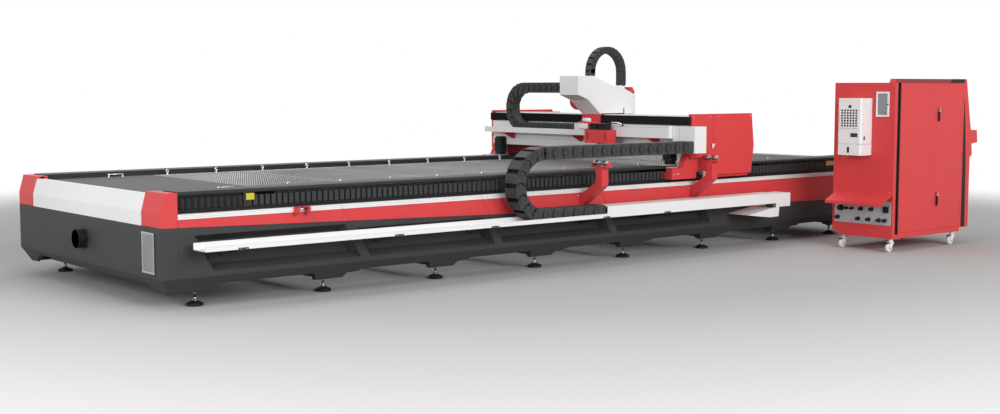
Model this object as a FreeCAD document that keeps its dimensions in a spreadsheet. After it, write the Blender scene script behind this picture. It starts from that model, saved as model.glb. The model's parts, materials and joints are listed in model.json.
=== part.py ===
import FreeCAD, Part
import math
import os
from types import SimpleNamespace

Vector = FreeCAD.Vector
doc = FreeCAD.newDocument("LaserCutter")

# Driving sizes in millimetres. X runs along the bed, Y across it, Z up from the floor.
SIZES = {
    # bed, seen from its long near side
    "bed_length": 9290, "bed_width": 3071, "skin_depth": 120, "fold_height": 255,
    "skirt_height": 185, "skirt_inset": 40, "bump_height": 120, "bump_inset": 77, "bump_half": 140,
    "band_left_height": 675, "band_right_height": 426, "strip_bottom": 737, "strip_top": 779,
    "lip_top": 960, "lip_drop": 30, "lip_width": 250, "cover_sheet": 6, "ledge_height": 806,
    "corner_length": 146, "corner_width": 360, "kink_height": 790, "kink_lean": 45,
    "corner_top": 953, "end_cover_top": 930, "end_cover_depth": 110, "end_panel_depth": 90,
    # tapered pockets and slanted panel seams of the side skins
    "pocket_count": 4, "pocket_first": 286, "pocket_pitch": 1571, "pocket_length": 1450,
    "pocket_low": 296, "pocket_high": 600, "pocket_slant": 172, "pocket_depth": 90, "pocket_taper": 32,
    "pocket_drop": 42,
    # feet
    "foot_first_x": 368, "foot_last_bay": 1084, "foot_bays": 6, "foot_row_y": 174,
    "pad_radius": 71.5, "pad_height": 30, "stem_radius": 12, "nut_radius": 21, "nut_height": 14,
    # welded frame, rails and table
    "beam_depth": 210, "beam_bottom": 190, "beam_top": 720, "table_ledge_y": 372, "table_ledge_top": 855,
    "cross_width": 120, "cross_low": 150, "cross_high": 330, "cross_shift": 115,
    "rail_y": 170, "rail_width": 45, "rail_height": 45, "rack_y": 235, "rack_width": 30,
    "rack_height": 40, "table_top": 915, "plate_sheet": 10, "plate_end": 1231,
    "frame_pitch": 975, "frame_count": 7, "frame_bar": 40, "slats_each": 20, "slat_thickness": 4,
    "slat_tooth": 18, "eye_first": 1383, "eye_pitch": 548, "eye_count": 13, "eye_height": 36,
    "handle_length": 160, "duct_radius": 84, "duct_flange_radius": 97.5, "duct_reach": 80,
    "duct_height": 468, "duct_wall": 4,
    # pleated bellows
    "pleat_pitch": 57, "pleat_depth": 24, "pleat_sheet": 4, "pleat_bottom": 815, "pleat_top": 905,
    "pleat_front": 8, "parked_end": 735, "bellows_start": 780, "beam_pleat_pitch": 36,
    "beam_pleat_depth": 14,
    # chain tray on the near side, with its tall cover, brackets and roller posts
    "tray_start": 227, "tray_front": 310, "tray_back": 100, "tray_bottom": 497, "tray_sheet": 5,
    "tray_back_top": 554, "tray_front_top": 536, "tray_cover_start": 4652, "tray_cover_end": 7290,
    "tray_cover_top": 612, "tray_cap_length": 250, "tray_cap_drop": 42, "bracket_half": 46,
    "bracket_drop": 88, "bracket_count": 5, "bracket_sheet": 6, "bracket_lip": 15, "chute_reach": 471,
    "chute_drop": 153, "chute_tip_drop": 110, "chute_flat": 150,
    "post_first_x": 4600, "post_second_x": 6235, "post_width": 90, "post_reach": 320,
    "arm_foot_low": 590, "arm_foot_high": 715, "arm_elbow_low": 815, "arm_elbow_high": 852,
    "roller_radius": 25, "roller_inner": 168, "roller_outer": 368, "axle_radius": 8,
    "fork_sheet": 6, "fork_height": 41, "roller_clearance": 32.5,
    # long drag chain
    "chain_width": 180, "chain_height": 124, "chain_radius": 300, "chain_front": 287,
    "chain_pitch": 135, "chain_disc": 44, "chain_moving_x": 5943, "chain_bend_x": 3828,
    "chain_bend_links": 8, "link_gap": 0.6, "disc_rise": 3, "running_gap": 0.5, "seat_gap": 0.3,
    # gantry
    "beam_face": 6035, "beam_back": 6560, "gantry_bottom": 1093, "gantry_top": 1485,
    "gantry_start": 100, "groove_height": 1200, "groove_depth": 14, "bellows_seat": 1381,
    "bellows_recess": 42, "saddle_front": 100, "saddle_plate": 80, "saddle_left": 5804,
    "saddle_right": 7036, "arm_bottom": 816, "arm_top": 900, "saddle_step": 937,
    "cover_front": 150, "cover_left": 6054, "cover_right": 7078, "cover_top": 1509,
    "cover_low": 848, "cover_knee": 1150, "cover_bevel": 42, "cover_step_x": 6330, "cover_hem": 53,
    "cover_seam": 6398, "housing_inset": 138, "latch_x": 6369, "latch_size": 42, "latch_low": 1136,
    "latch_high": 1185, "bracket_box_left": 5943, "bracket_box_front": 290, "bracket_box_low": 1097,
    "bracket_box_high": 1380, "duct_left": 5883, "duct_right": 6023, "motor_near": 40, "motor_width": 130,
    "motor_depth": 105, "motor_low": 966, "motor_high": 1190, "motor_neck": 40,
    # cross tray and cross drag chain
    "cross_tray_start": 1510, "cross_tray_end": 3150, "cross_tray_low": 1248, "cross_tray_top": 1311,
    "cross_chain_height": 124, "cross_chain_radius": 238, "cross_bend_inset": 615,
    "beam_bellows_reach": 142,
    "cross_chain_pitch": 104, "cross_chain_bend_links": 8, "cross_chain_moving_y": 1528,
    # carriage and cutting head
    "carriage_near": 1222, "carriage_far": 1528, "head_left": 5745, "head_right": 5878,
    "head_near": 820, "head_far": 1193, "head_low": 1150, "head_high": 1322, "arm_length": 75,
    "lift_arm_low": 1384, "lift_arm_high": 1410, "mouth_near": 940, "mouth_far": 1070,
    "servo_near": 850, "servo_pitch": 145, "servo_width": 135, "servo_depth": 95,
    "servo_top": 1394, "hanger_near": 1132, "quill_y": 1005, "quill_radius": 38,
    "quill_rise": 70, "cone_rise": 30, "tip_radius": 4, "nozzle_tip": 1050,
    "hood_nose_x": 5670, "hood_nose": 1709, "hood_high": 1926, "hood_peak_x": 5903,
    "hood_step_x": 6196, "hood_step": 1817, "hood_shelf_x": 6376, "hood_shelf": 1796,
    "hood_back_x": 6586, "hood_back": 1707, "hood_knee_x": 5832, "hood_knee": 1652,
    "hood_slot_x": 6392, "hood_slot_width": 12, "hood_slot_height": 68, "arch_radius": 246,
    "arch_height": 78, "arch_width": 100, "arch_x": 6163, "arch_centre": 1978, "arch_y": 1285,
    # control cabinet
    "cabinet_left": 7849, "cabinet_front": 1449, "cabinet_back": 667, "cabinet_length": 1363,
    "cabinet_low": 190, "cabinet_high": 1846, "cabinet_wall": 20, "plinth_low": 148,
    "plinth_inset": 37, "plinth_back": 740, "door_inset_left": 105, "door_inset_right": 40,
    "left_door_width": 634, "door_low": 206, "door_high": 1840, "door_sheet": 20, "door_gap": 1.5,
    "door_bevel": 2, "groove_left": 57, "groove_right": 101, "groove_sink": 26,
    "handle_offset": 95, "handle_high": 1492, "handle_lower": 545, "handle_half": 75,
    "roof_thickness": 42, "roof_slant": 22, "roof_setback": 80, "console_foot": 73,
    "console_reach": 141, "console_knee": 992, "console_lip_reach": 188, "console_lip": 1024,
    "console_shelf_reach": 172, "console_shelf": 1145, "console_brow_reach": 150,
    "console_brow": 1304, "console_top_reach": 36, "keys_reach": 294, "keys_low": 1160,
    "keys_high_reach": 276,
    "cooler_front": 7649, "cooler_near": 1160, "cooler_far": 866, "cooler_low": 1054,
    "cooler_high": 1677, "window_near": 1378, "window_far": 1216, "window_low": 1477,
    "window_high": 1748, "window_frame": 22, "window_sheet": 12, "socket_near": 1432,
    "socket_far": 700, "socket_low": 292, "socket_high": 551, "canopy_front": 7655,
    "canopy_far": 700, "canopy_high": 630, "canopy_low": 540, "canopy_lip": 30, "canopy_sheet": 4,
    "cooler_bevel": 20, "caster_inset_left": 56, "caster_inset_right": 112, "caster_near": 1400,
    "caster_far": 790,
    "wheel_radius": 50, "wheel_width": 32, "caster_trail": 36,
}

# Places of the tray brackets along the bed, which fall clear of the foot bumps.
BRACKET_COLUMNS = [563, 2102, 3197, 4642, 5519]

sheet = doc.addObject("Spreadsheet::Sheet", "size")
for row, (word, number) in enumerate(SIZES.items(), start=1):
    sheet.set(f"A{row}", word)
    sheet.set(f"B{row}", str(number))
    sheet.setAlias(f"B{row}", word)
doc.recompute()
s = SimpleNamespace(**{word: float(sheet.get(word)) for word in SIZES})

parts = []


def node(thing, label):
    """Names a finished sub-part and moves the origin to the first near foot."""
    thing.Label = label
    thing.setExpression("Placement.Base.x", "-size.foot_first_x")
    thing.setExpression("Placement.Base.y", "-size.foot_row_y")
    parts.append(thing)
    return thing


def feature(label, *solids):
    """A sub-part whose solids are worked out here from the sheet."""
    thing = doc.addObject("Part::Feature", label)
    thing.Shape = solids[0] if len(solids) == 1 else Part.Compound(list(solids))
    return node(thing, label)


def source(name, shape):
    """A shape that other objects mirror or gather."""
    thing = doc.addObject("Part::Feature", name)
    thing.Shape = shape
    return thing


def mirrored(thing, across):
    """A mirror image of a shape: across "Y" for the far side, "X" for the other end."""
    copy = doc.addObject("Part::Mirroring", thing.Name + "Mirror" + across)
    copy.Source = thing
    if across == "Y":
        copy.setExpression("Base.y", "size.bed_width / 2")
        copy.Normal = Vector(0, 1, 0)
    else:
        copy.setExpression("Base.x", "size.bed_length / 2")
        copy.Normal = Vector(1, 0, 0)
    return copy


def gathered(label, *things):
    """One sub-part made of several objects that stay separate solids."""
    compound = doc.addObject("Part::Compound", label)
    compound.Links = list(things)
    return node(compound, label)


def origin_plane(body, role):
    for plane in body.Origin.OriginFeatures:
        if plane.Role == role:
            return plane
    raise ValueError(role)


def sketch_on(body, name, plane, outline, start):
    """A closed outline on one of the body's own planes, moved out along its axis by `start`."""
    sketch = body.newObject("Sketcher::SketchObject", name)
    sketch.AttachmentSupport = [(origin_plane(body, plane), "")]
    sketch.MapMode = "FlatFace"
    if start:
        sketch.setExpression("AttachmentOffset.Base.z", start)
    corners = [Vector(u, w, 0) for u, w in outline]
    for first, last in zip(corners, corners[1:] + corners[:1]):
        sketch.addGeometry(Part.LineSegment(first, last), False)
    return sketch


def plate(name, plane, outline, start, thickness):
    """A padded outline. XZ plates grow towards +Y, YZ plates towards +X, XY plates upwards."""
    body = doc.addObject("PartDesign::Body", name)
    pad = body.newObject("PartDesign::Pad", name + "Pad")
    pad.Profile = sketch_on(body, name + "Outline", plane, outline, start)
    pad.setExpression("Length", thickness)
    pad.Reversed = plane == "XZ_Plane"
    body.Tip = pad
    doc.recompute()
    return body


def pocket(body, name, plane, outline, start, depth):
    """Cuts an outline out of a body, the same way round as plate() adds it."""
    before = body.Shape.Volume
    cut = body.newObject("PartDesign::Pocket", name)
    cut.Profile = sketch_on(body, name + "Outline", plane, outline, start)
    cut.setExpression("Length", depth)
    cut.Reversed = plane != "XZ_Plane"
    body.Tip = cut
    doc.recompute()
    if not body.Shape.Volume < before:
        raise ValueError(name + " cuts nothing")
    return cut


def box(x0, y0, z0, x1, y1, z1):
    return Part.makeBox(x1 - x0, y1 - y0, z1 - z0, Vector(x0, y0, z0))


def rod(radius, start, end):
    way = end - start
    return Part.makeCylinder(radius, way.Length, start, way)


def face_of(outline, axis, at):
    if axis == "X":
        corners = [Vector(at, u, w) for u, w in outline]
    elif axis == "Y":
        corners = [Vector(u, at, w) for u, w in outline]
    else:
        corners = [Vector(u, w, at) for u, w in outline]
    return Part.Face(Part.makePolygon(corners + corners[:1]))


def prism(outline, axis, start, end):
    """A solid with a flat outline square to an axis: (y, z), (x, z) or (x, y) points."""
    way = {"X": Vector(1, 0, 0), "Y": Vector(0, 1, 0), "Z": Vector(0, 0, 1)}[axis]
    return face_of(outline, axis, start).extrude(way * (end - start))


def regular(u, w, radius, corners, turn=0):
    """Corners of a regular outline round a point."""
    angles = [math.radians(turn + 360 * corner / corners) for corner in range(corners)]
    return [(u + radius * math.cos(a), w + radius * math.sin(a)) for a in angles]


def funnel(outline, slope, depth):
    """A flat-walled cutter that narrows from an (x, z) outline at y = 0 to the given depth."""
    middle_x = sum(u for u, _ in outline) / len(outline)
    inset = depth * slope
    corners = []
    for index, (u, w) in enumerate(outline):
        before, after = outline[index - 1], outline[(index + 1) % len(outline)]
        side = before if abs(before[1] - w) > 1 else after
        along = (side[0] - u) / (side[1] - w)
        inner_w = w + math.copysign(inset, side[1] - w)
        reach = inset * math.hypot(1, along)
        corners.append((u + along * (inner_w - w) + math.copysign(reach, middle_x - u), inner_w))
    near = [Vector(u, 0, w) for u, w in outline]
    far = [Vector(u, depth, w) for u, w in corners]
    walls = [Part.makePolygon(near + near[:1]), Part.makePolygon(far + far[:1])]
    for index in range(len(near)):
        after = (index + 1) % len(near)
        walls.append(Part.makePolygon([near[index], near[after], far[after], far[index], near[index]]))
    return Part.Solid(Part.Shell([Part.Face(wall) for wall in walls]))


def fused(*shapes):
    return shapes[0].multiFuse(list(shapes[1:])).removeSplitter()


length, width = s.bed_length, s.bed_width
foot_pitch = (length - 2 * s.foot_first_x - s.foot_last_bay) / s.foot_bays
foot_columns = [s.foot_first_x + foot_pitch * bay for bay in range(int(s.foot_bays) + 1)]
foot_columns.append(length - s.foot_first_x)

# Heights of the long chain's runs, and of the rollers that wait just under its upper run.
chain_lower = s.tray_bottom + s.tray_sheet + s.running_gap + s.chain_height / 2
chain_centre = chain_lower + s.chain_radius
chain_upper = chain_centre + s.chain_radius
roller_height = chain_upper - s.chain_height / 2 - s.roller_clearance - s.roller_radius
post_top = roller_height - s.fork_height

# Places along the front of the control cabinet.
cabinet_right = s.cabinet_left + s.cabinet_length
door_left_edge = s.cabinet_left + s.door_inset_left
door_right_edge = cabinet_right - s.door_inset_right
door_seam = door_left_edge + s.left_door_width


def band_height(x):
    """Lower edge of the red band, which rises towards the duct end."""
    return s.band_left_height + (s.band_right_height - s.band_left_height) * x / length


def side_outline():
    """Side skin: slanted top edge, and a lower edge that drops to a bump round each foot."""
    ramp = s.bump_half + 37
    points = [(0, band_height(0)), (0, s.fold_height), (s.skirt_inset, s.skirt_height)]
    points += [(s.bump_inset, s.bump_height), (s.foot_first_x + 106, s.bump_height)]
    points += [(s.foot_first_x + 143, s.skirt_height)]
    for column in foot_columns[1:-1]:
        points += [(column - s.bump_half - 25, s.skirt_height), (column - s.bump_half, s.bump_height)]
        points += [(column + s.bump_half, s.bump_height), (column + ramp, 160), (column + ramp + 108, 166)]
        points += [(column + ramp + 148, s.skirt_height)]
    column = foot_columns[-1]
    points += [(column - s.bump_half - 25, s.skirt_height), (column - s.bump_half, s.bump_height)]
    points += [(length - s.bump_inset, s.bump_height), (length - s.skirt_inset, s.skirt_height)]
    points += [(length, s.fold_height), (length, band_height(length))]
    return points


def panel_top(edge):
    """Height at which the skin of an end stops, under the sloped foot of the corner covers."""
    inner = s.end_panel_depth if edge == 0 else edge - s.end_panel_depth
    return min(band_height(edge), band_height(inner))


def build_side_skins():
    body = plate("SideSkin", "XZ_Plane", side_outline(), None, "size.skin_depth")
    slope = s.skirt_inset / (s.fold_height - s.skirt_height)
    drop = s.fold_height - s.bump_height + 10
    fold = [(-10, s.fold_height), (0, s.fold_height), (drop * slope, s.fold_height - drop)]
    fold += [(-10, s.fold_height - drop)]
    pocket(body, "SkirtFold", "YZ_Plane", fold, None, "size.bed_length")
    cutters = []
    for index in range(int(s.pocket_count)):
        left = s.pocket_first + s.pocket_pitch * index
        right = left + s.pocket_length
        tall = s.pocket_high - s.pocket_drop * index
        lean = s.pocket_slant * (tall - s.pocket_low) / (s.pocket_high - s.pocket_low)
        outline = [(left + lean, s.pocket_low), (right + lean, s.pocket_low), (right, tall), (left, tall)]
        cutters.append(funnel(outline, math.tan(math.radians(s.pocket_taper)), s.pocket_depth))
    skin = doc.addObject("Part::Cut", "PocketedSkin")
    skin.Base = body
    skin.Tool = source("PocketCutters", Part.Compound(cutters))
    gathered("side_skins", skin, mirrored(skin, "Y"))


def end_panel(side, edge, way):
    """Skin of one end, folded in at the foot, with a bump at each corner and a fork slot."""
    far, top = width - s.skin_depth, panel_top(edge)
    bump = s.corner_width - 123
    outline = [(s.skin_depth, top), (s.skin_depth, s.bump_height + 3), (bump, s.bump_height + 3)]
    outline += [(bump + 104, s.beam_bottom), (width - bump - 104, s.beam_bottom)]
    outline += [(width - bump, s.bump_height + 3), (far, s.bump_height + 3), (far, top)]
    start = "size.bed_length - size.end_panel_depth" if edge else None
    body = plate("EndPanel" + side, "YZ_Plane", outline, start, "size.end_panel_depth")
    slope = s.skirt_inset / (s.fold_height - s.skirt_height)
    drop = s.fold_height - s.bump_height + 10
    fold = [(-10, s.fold_height), (0, s.fold_height), (drop * slope, s.fold_height - drop)]
    fold += [(-10, s.fold_height - drop)]
    fold = [(edge + way * u, w) for u, w in fold]
    pocket(body, "EndFold" + side, "XZ_Plane", fold, None, "size.bed_width")
    slot = [(width - 708, s.beam_bottom - 5), (width - 433, s.beam_bottom - 5)]
    slot += [(width - 433, s.beam_bottom + 22), (width - 708, s.beam_bottom + 22)]
    pocket(body, "ForkSlot" + side, "YZ_Plane", slot, start, "size.end_panel_depth")
    return body


def build_end_panels():
    hole = doc.addObject("Part::Cylinder", "DuctHole")
    hole.setExpression("Radius", "size.duct_radius")
    hole.setExpression("Height", "size.end_panel_depth * 2")
    turned = FreeCAD.Rotation(Vector(0, 1, 0), 90)
    hole.Placement = FreeCAD.Placement(Vector(-10, width / 2, s.duct_height), turned)
    bored = doc.addObject("Part::Cut", "EndPanelBored")
    bored.Base = end_panel("Left", 0, 1)
    bored.Tool = hole
    grille = box(-6, 122, 292, 0, 345, 629)
    for step in range(12):
        height = 318 + 24 * step
        grille = grille.cut(box(-8, 142, height, -2, 325, height + 10))
    gathered("end_panels", bored, end_panel("Right", length, -1), source("Louvre", grille))


def build_covers():
    """Red bands, red corner covers, white end covers and the ribbed white strips."""
    start, end = s.corner_length, length - s.corner_length
    band = [(start, band_height(start)), (end, band_height(end))]
    band += [(end, s.strip_bottom), (start, s.strip_bottom)]
    red_near = doc.addObject("Part::Compound", "RedNear")
    red_near.Links = [plate("RedBand", "XZ_Plane", band, "3", "size.skin_depth + 3")]
    lean, top, wide = s.kink_lean, s.corner_top, s.end_cover_depth
    ends = []
    for side, way, edge in (("Left", 1, 0), ("Right", -1, length)):
        foot, inner = band_height(edge), band_height(edge + way * start)
        corner = [(0, foot), (0, s.kink_height), (lean, top), (start, top), (start, inner)]
        hollow = [(lean + 30, s.table_top), (start - 30, s.table_top)]
        hollow += [(start - 30, top - 6), (lean + 30, top - 6)]
        seat = panel_top(edge)
        white = [(0, seat), (0, s.kink_height), (lean - 5, s.end_cover_top)]
        white += [(wide, s.end_cover_top), (wide, seat)]
        outlines = [[(edge + way * u, w) for u, w in outline] for outline in (corner, hollow, white)]
        corner, hollow, white = outlines
        cover = plate("CornerCover" + side, "XZ_Plane", corner, None, "size.corner_width")
        lift = "-size.cover_sheet * 2"
        pocket(cover, "CornerHollow" + side, "XZ_Plane", hollow, lift, "size.corner_width")
        red_near.Links = red_near.Links + [cover]
        span = "size.bed_width - 2 * size.corner_width"
        ends.append(plate("EndCover" + side, "XZ_Plane", white, "-size.corner_width", span))
    gathered("red_covers", red_near, mirrored(red_near, "Y"))
    gathered("end_covers", *ends)

    low, high = s.strip_bottom, s.strip_top
    ribs = [(-8, low), (-8, low + 12), (-4, low + 14), (-8, low + 16), (-8, low + 28), (-4, low + 30)]
    ribs += [(-8, low + 32), (-8, high), (60, high), (60, low)]
    span = "size.bed_length - 2 * size.corner_length"
    strip = plate("Strip", "YZ_Plane", ribs, "size.corner_length", span)
    gathered("side_strips", strip, mirrored(strip, "Y"))


# Pitch, front and depth of the pleats along the bed.
pleat_form = (s.pleat_pitch, s.pleat_front, s.pleat_depth)


def build_rail_covers():
    """Long lips over the rails, the ledge under the bellows, the posts and the parked bellows."""
    sheet_mm, top, drop = s.cover_sheet, s.lip_top, s.lip_top - s.lip_drop
    lip = [(0, drop), (0, top - 12), (12, top), (s.lip_width, top)]
    lip += [(s.lip_width, s.table_top - s.plate_sheet)]
    lip += [(s.lip_width - sheet_mm, s.table_top - s.plate_sheet), (s.lip_width - sheet_mm, top - sheet_mm)]
    lip += [(14, top - sheet_mm), (sheet_mm, top - 14), (sheet_mm, drop)]
    span = "size.bed_length - 2 * size.corner_length"
    cover = plate("Lip", "YZ_Plane", lip, "size.corner_length", span)
    ledge_top = s.ledge_height + sheet_mm
    ledge = [(0, s.ledge_height), (38, s.ledge_height), (38, s.strip_top), (44, s.strip_top), (44, ledge_top)]
    ledge += [(0, ledge_top)]
    shelf = plate("Ledge", "YZ_Plane", ledge, "size.corner_length", span)
    post = source("StopPost", box(s.parked_end + 8, 0, ledge_top, s.bellows_start - 8, 40, drop))
    parked = source("Parked", pleated(s.corner_length, s.parked_end, *pleat_form))
    near = doc.addObject("Part::Compound", "RailCoverNear")
    near.Links = [cover, shelf, post, parked]
    gathered("rail_covers", near, mirrored(near, "Y"))


def pleated(start, end, pitch, front, depth, along="X"):
    """A folded curtain with a flat lining: whole pleats from start to end."""
    count = max(1, round((end - start) / pitch))
    step = (end - start) / count
    zigzag = [(start + step * fold / 2, front + depth * (fold % 2)) for fold in range(2 * count + 1)]
    lining = front + depth + s.pleat_sheet
    outline = zigzag + [(end, lining), (start, lining)]
    low, high = s.pleat_bottom, s.pleat_top
    if along == "Y":
        outline = [(w, u) for u, w in outline]
        low, high = s.bellows_seat + 8, s.gantry_top - 4
    return prism(outline, "Z", low, high)


def build_bellows():
    left = source("BellowsLeft", pleated(s.bellows_start, s.saddle_left - s.seat_gap, *pleat_form))
    end = length - s.corner_length
    right = source("BellowsRight", pleated(s.saddle_right + s.seat_gap, end, *pleat_form))
    gathered("bellows_left", left, mirrored(left, "Y"))
    gathered("bellows_right", right, mirrored(right, "Y"))
    face = s.beam_face - 10
    near = (-s.beam_bellows_reach, s.carriage_near + 3 - s.seat_gap)
    far = (s.carriage_far + s.seat_gap, width + s.beam_bellows_reach)
    for label, (low, high) in (("beam_bellows_near", near), ("beam_bellows_far", far)):
        feature(label, pleated(low, high, s.beam_pleat_pitch, face, s.beam_pleat_depth, "Y"))


def build_frame():
    """Welded frame: two long box beams with table ledges, cross members and foot blocks."""
    inner = s.skin_depth + s.beam_depth
    section = [(s.skin_depth, s.beam_bottom), (s.table_ledge_y, s.beam_bottom)]
    section += [(s.table_ledge_y, s.table_ledge_top), (inner, s.table_ledge_top)]
    section += [(inner, s.beam_top), (s.skin_depth, s.beam_top)]
    span = "size.bed_length - 2 * size.corner_length"
    beam = plate("LongBeam", "YZ_Plane", section, "size.corner_length", span)
    pieces = [beam, mirrored(beam, "Y")]
    for number, column in enumerate(foot_columns, start=1):
        cross = doc.addObject("Part::Box", f"CrossMember{number}")
        cross.setExpression("Length", "size.cross_width")
        cross.setExpression("Width", "size.bed_width - 2 * size.skin_depth")
        cross.setExpression("Height", "size.cross_high - size.cross_low")
        cross.Placement.Base = Vector(column - s.cross_shift - s.cross_width / 2, s.skin_depth, s.cross_low)
        pieces.append(cross)
        block = doc.addObject("Part::Box", f"FootBlock{number}")
        block.Length = 120
        block.setExpression("Width", "2 * (size.foot_row_y - size.skin_depth)")
        block.setExpression("Height", "size.beam_bottom - size.bump_height + 2")
        block.Placement.Base = Vector(column - 60, s.skin_depth, s.bump_height - 2)
        pieces.append(block)
        pieces.append(mirrored(block, "Y"))
    frame = doc.addObject("Part::MultiFuse", "WeldedFrame")
    frame.Shapes = pieces
    node(frame, "bed_frame")

    start, end, low = s.corner_length + 10, length - s.corner_length - 10, s.beam_top
    rail = box(start, s.rail_y, low, end, s.rail_y + s.rail_width, low + s.rail_height)
    rack = box(start, s.rack_y, low, end, s.rack_y + s.rack_width, low + s.rack_height)
    rails = source("RailAndRack", Part.Compound([rail, rack]))
    gathered("guide_rails", rails, mirrored(rails, "Y"))


def build_feet():
    feet = []
    for column in foot_columns:
        for row in (s.foot_row_y, width - s.foot_row_y):
            pad = prism(regular(column, row, s.pad_radius, 14), "Z", 0, s.pad_height * 0.5)
            neck = s.bump_height - 2 - s.nut_height
            stem = prism(regular(column, row, s.stem_radius, 6), "Z", s.pad_height * 0.5, neck)
            nut = prism(regular(column, row, s.nut_radius, 6), "Z", neck, s.bump_height - 2)
            feet.append(fused(pad, stem, nut))
    feature("levelling_feet", *feet)


def build_table():
    inner, outer = s.table_ledge_y - s.frame_bar, width - s.table_ledge_y + s.frame_bar
    top, low = s.table_top, s.table_top - s.plate_sheet
    frames, slats = [], []
    for bay in range(int(s.frame_count)):
        start = s.plate_end + s.frame_pitch * bay
        end = start + s.frame_pitch
        gap, foot = s.link_gap / 2, s.table_ledge_top
        frames.append(box(start + gap, inner, foot, end - gap, inner + s.frame_bar, top))
        frames.append(box(start + gap, outer - s.frame_bar, foot, end - gap, outer, top))
        for bar in (start + gap, end - 8):
            frames.append(box(bar, inner + s.frame_bar, foot, bar + 8 - gap, outer - s.frame_bar, top))
        pitch = (s.frame_pitch - 16) / s.slats_each
        for step in range(int(s.slats_each)):
            middle = start + 8 + pitch * (step + 0.5)
            left, right = middle - s.slat_thickness / 2, middle + s.slat_thickness / 2
            near, far = inner + s.frame_bar, outer - s.frame_bar
            slats.append(box(left, near, s.table_ledge_top, right, far, top + 2))
    feature("slats", *slats)

    last = s.plate_end + s.frame_pitch * s.frame_count
    edge = s.end_cover_depth
    plates = [box(edge, s.corner_width, low, s.plate_end, width - s.corner_width, top)]
    plates.append(box(last, s.corner_width, low, length - edge, width - s.corner_width, top))
    for near in (s.lip_width, width - inner):
        plates.append(box(s.plate_end, near, low, last, near + inner - s.lip_width, top))
    for low_y, high_y in ((s.lip_width, s.corner_width), (width - s.corner_width, width - s.lip_width)):
        plates.append(box(s.corner_length, low_y, low, s.plate_end, high_y, top))
        plates.append(box(last, low_y, low, length - s.corner_length, high_y, top))
    shell = plates[0].multiFuse(plates[1:])
    bars = []
    centre, half = s.plate_end - 430, s.handle_length / 2
    for row in (s.corner_width + 60, width - s.corner_width - 60):
        bar = box(centre - half, row - 6, top + 24, centre + half, row + 6, top + 36)
        for end in (centre - half, centre + half - 12):
            bar = bar.fuse(box(end, row - 6, top, end + 12, row + 6, top + 36))
        bars.append(bar.removeSplitter())
    feature("cover_plates", shell.removeSplitter(), *bars)

    eyes = []
    row_inset = s.table_ledge_y - s.frame_bar / 2
    for step in range(int(s.eye_count)):
        centre = s.eye_first + s.eye_pitch * step
        for row in (row_inset, width - row_inset):
            height = top + s.eye_height - 15
            eye = prism(regular(centre, height, 15, 6), "Y", row - 5, row + 5)
            eyes.append(eye.cut(prism(regular(centre, height, 8, 4), "Y", row - 6, row + 6)))
            foot = height - 15 * math.cos(math.pi / 6)
            eyes.append(box(centre - 9, row - 9, top, centre + 9, row + 9, foot))
    feature("slat_frames", *frames, *eyes)


def build_duct():
    """Spigot for the extraction hose on the end panel."""
    def along(x):
        return Vector(x, width / 2, s.duct_height)

    outer = rod(s.duct_radius, along(-s.duct_reach), along(s.end_panel_depth))
    flange = rod(s.duct_flange_radius, along(-5), along(0))
    bore = rod(s.duct_radius - s.duct_wall, along(-s.duct_reach - 1), along(s.end_panel_depth + 1))
    feature("exhaust_duct", outer.fuse(flange).cut(bore))


def build_tray():
    """Chain tray of folded sheet, its tall cover, the end cap and the chute under it."""
    low, front, back, wall = s.tray_bottom, -s.tray_front, -s.tray_back, s.tray_sheet
    start, end = s.tray_start, s.tray_cover_start
    floor = box(start, front, low, end, back, low + wall)
    front_wall = box(start, front, low + wall, end, front + wall, s.tray_front_top)
    back_wall = box(start, back - wall, low + wall, end, back, s.tray_back_top)
    feature("chain_tray", floor, front_wall, back_wall)

    start, end, top = s.tray_cover_start, s.tray_cover_end, s.tray_cover_top
    floor = box(start, front, low, end, back, low + wall)
    lid = box(start, front, top - wall, end, back, top)
    near_side = box(start, front, low + wall, end, front + wall, top - wall)
    far_side = box(start, back - wall, low + wall, end, back, top - wall)
    cap_low = low - s.tray_cap_drop
    cap = box(end, front, cap_low, end + s.tray_cap_length, back, top - 6)
    slide = [(end - s.chute_reach, low - s.chute_tip_drop)]
    slide += [(end - s.chute_reach + 376, low - s.chute_drop)]
    slide += [(end - s.chute_reach + 376 + s.chute_flat, low - s.chute_drop + 3)]
    slide += [(end + 66, cap_low), (end, cap_low)]
    chute = prism(slide, "Y", front + 6, -3)
    feature("tray_cover", floor, lid, near_side, far_side, cap, chute)


def build_brackets():
    """Tray brackets: webs reach the pocket floors, tops as far as the pocket's roof lets them."""
    slope = math.tan(math.radians(s.pocket_taper))
    low, depth, front = s.tray_bottom, s.pocket_depth, -s.tray_front - 4
    under = low - s.bracket_sheet
    brackets = []
    for column in range(int(s.bracket_count)):
        centre = BRACKET_COLUMNS[column]
        left, right = centre - s.bracket_half, centre + s.bracket_half
        bay = int((centre - s.pocket_first) // s.pocket_pitch)
        roof = s.pocket_high - s.pocket_drop * bay
        reach = min(depth, max(0, (roof - low - 1) / slope))
        root = [(reach, min(under, roof - 1 - reach * slope))]
        root += [(depth, min(under, roof - 1 - depth * slope)), (depth, low - s.bracket_drop)]
        brackets.append(box(left, front, under, right, reach, low))
        brackets.append(box(left, front, low, right, -s.tray_front, low + s.bracket_lip))
        outline = [(front + 24, under), (reach, under)]
        outline += [point for point in root if point != (reach, under)]
        outline.append((root[-1][0] - 30, low - s.bracket_drop))
        brackets.append(prism(outline, "X", centre - 4, centre + 4))
    feature("tray_brackets", *brackets)


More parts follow.
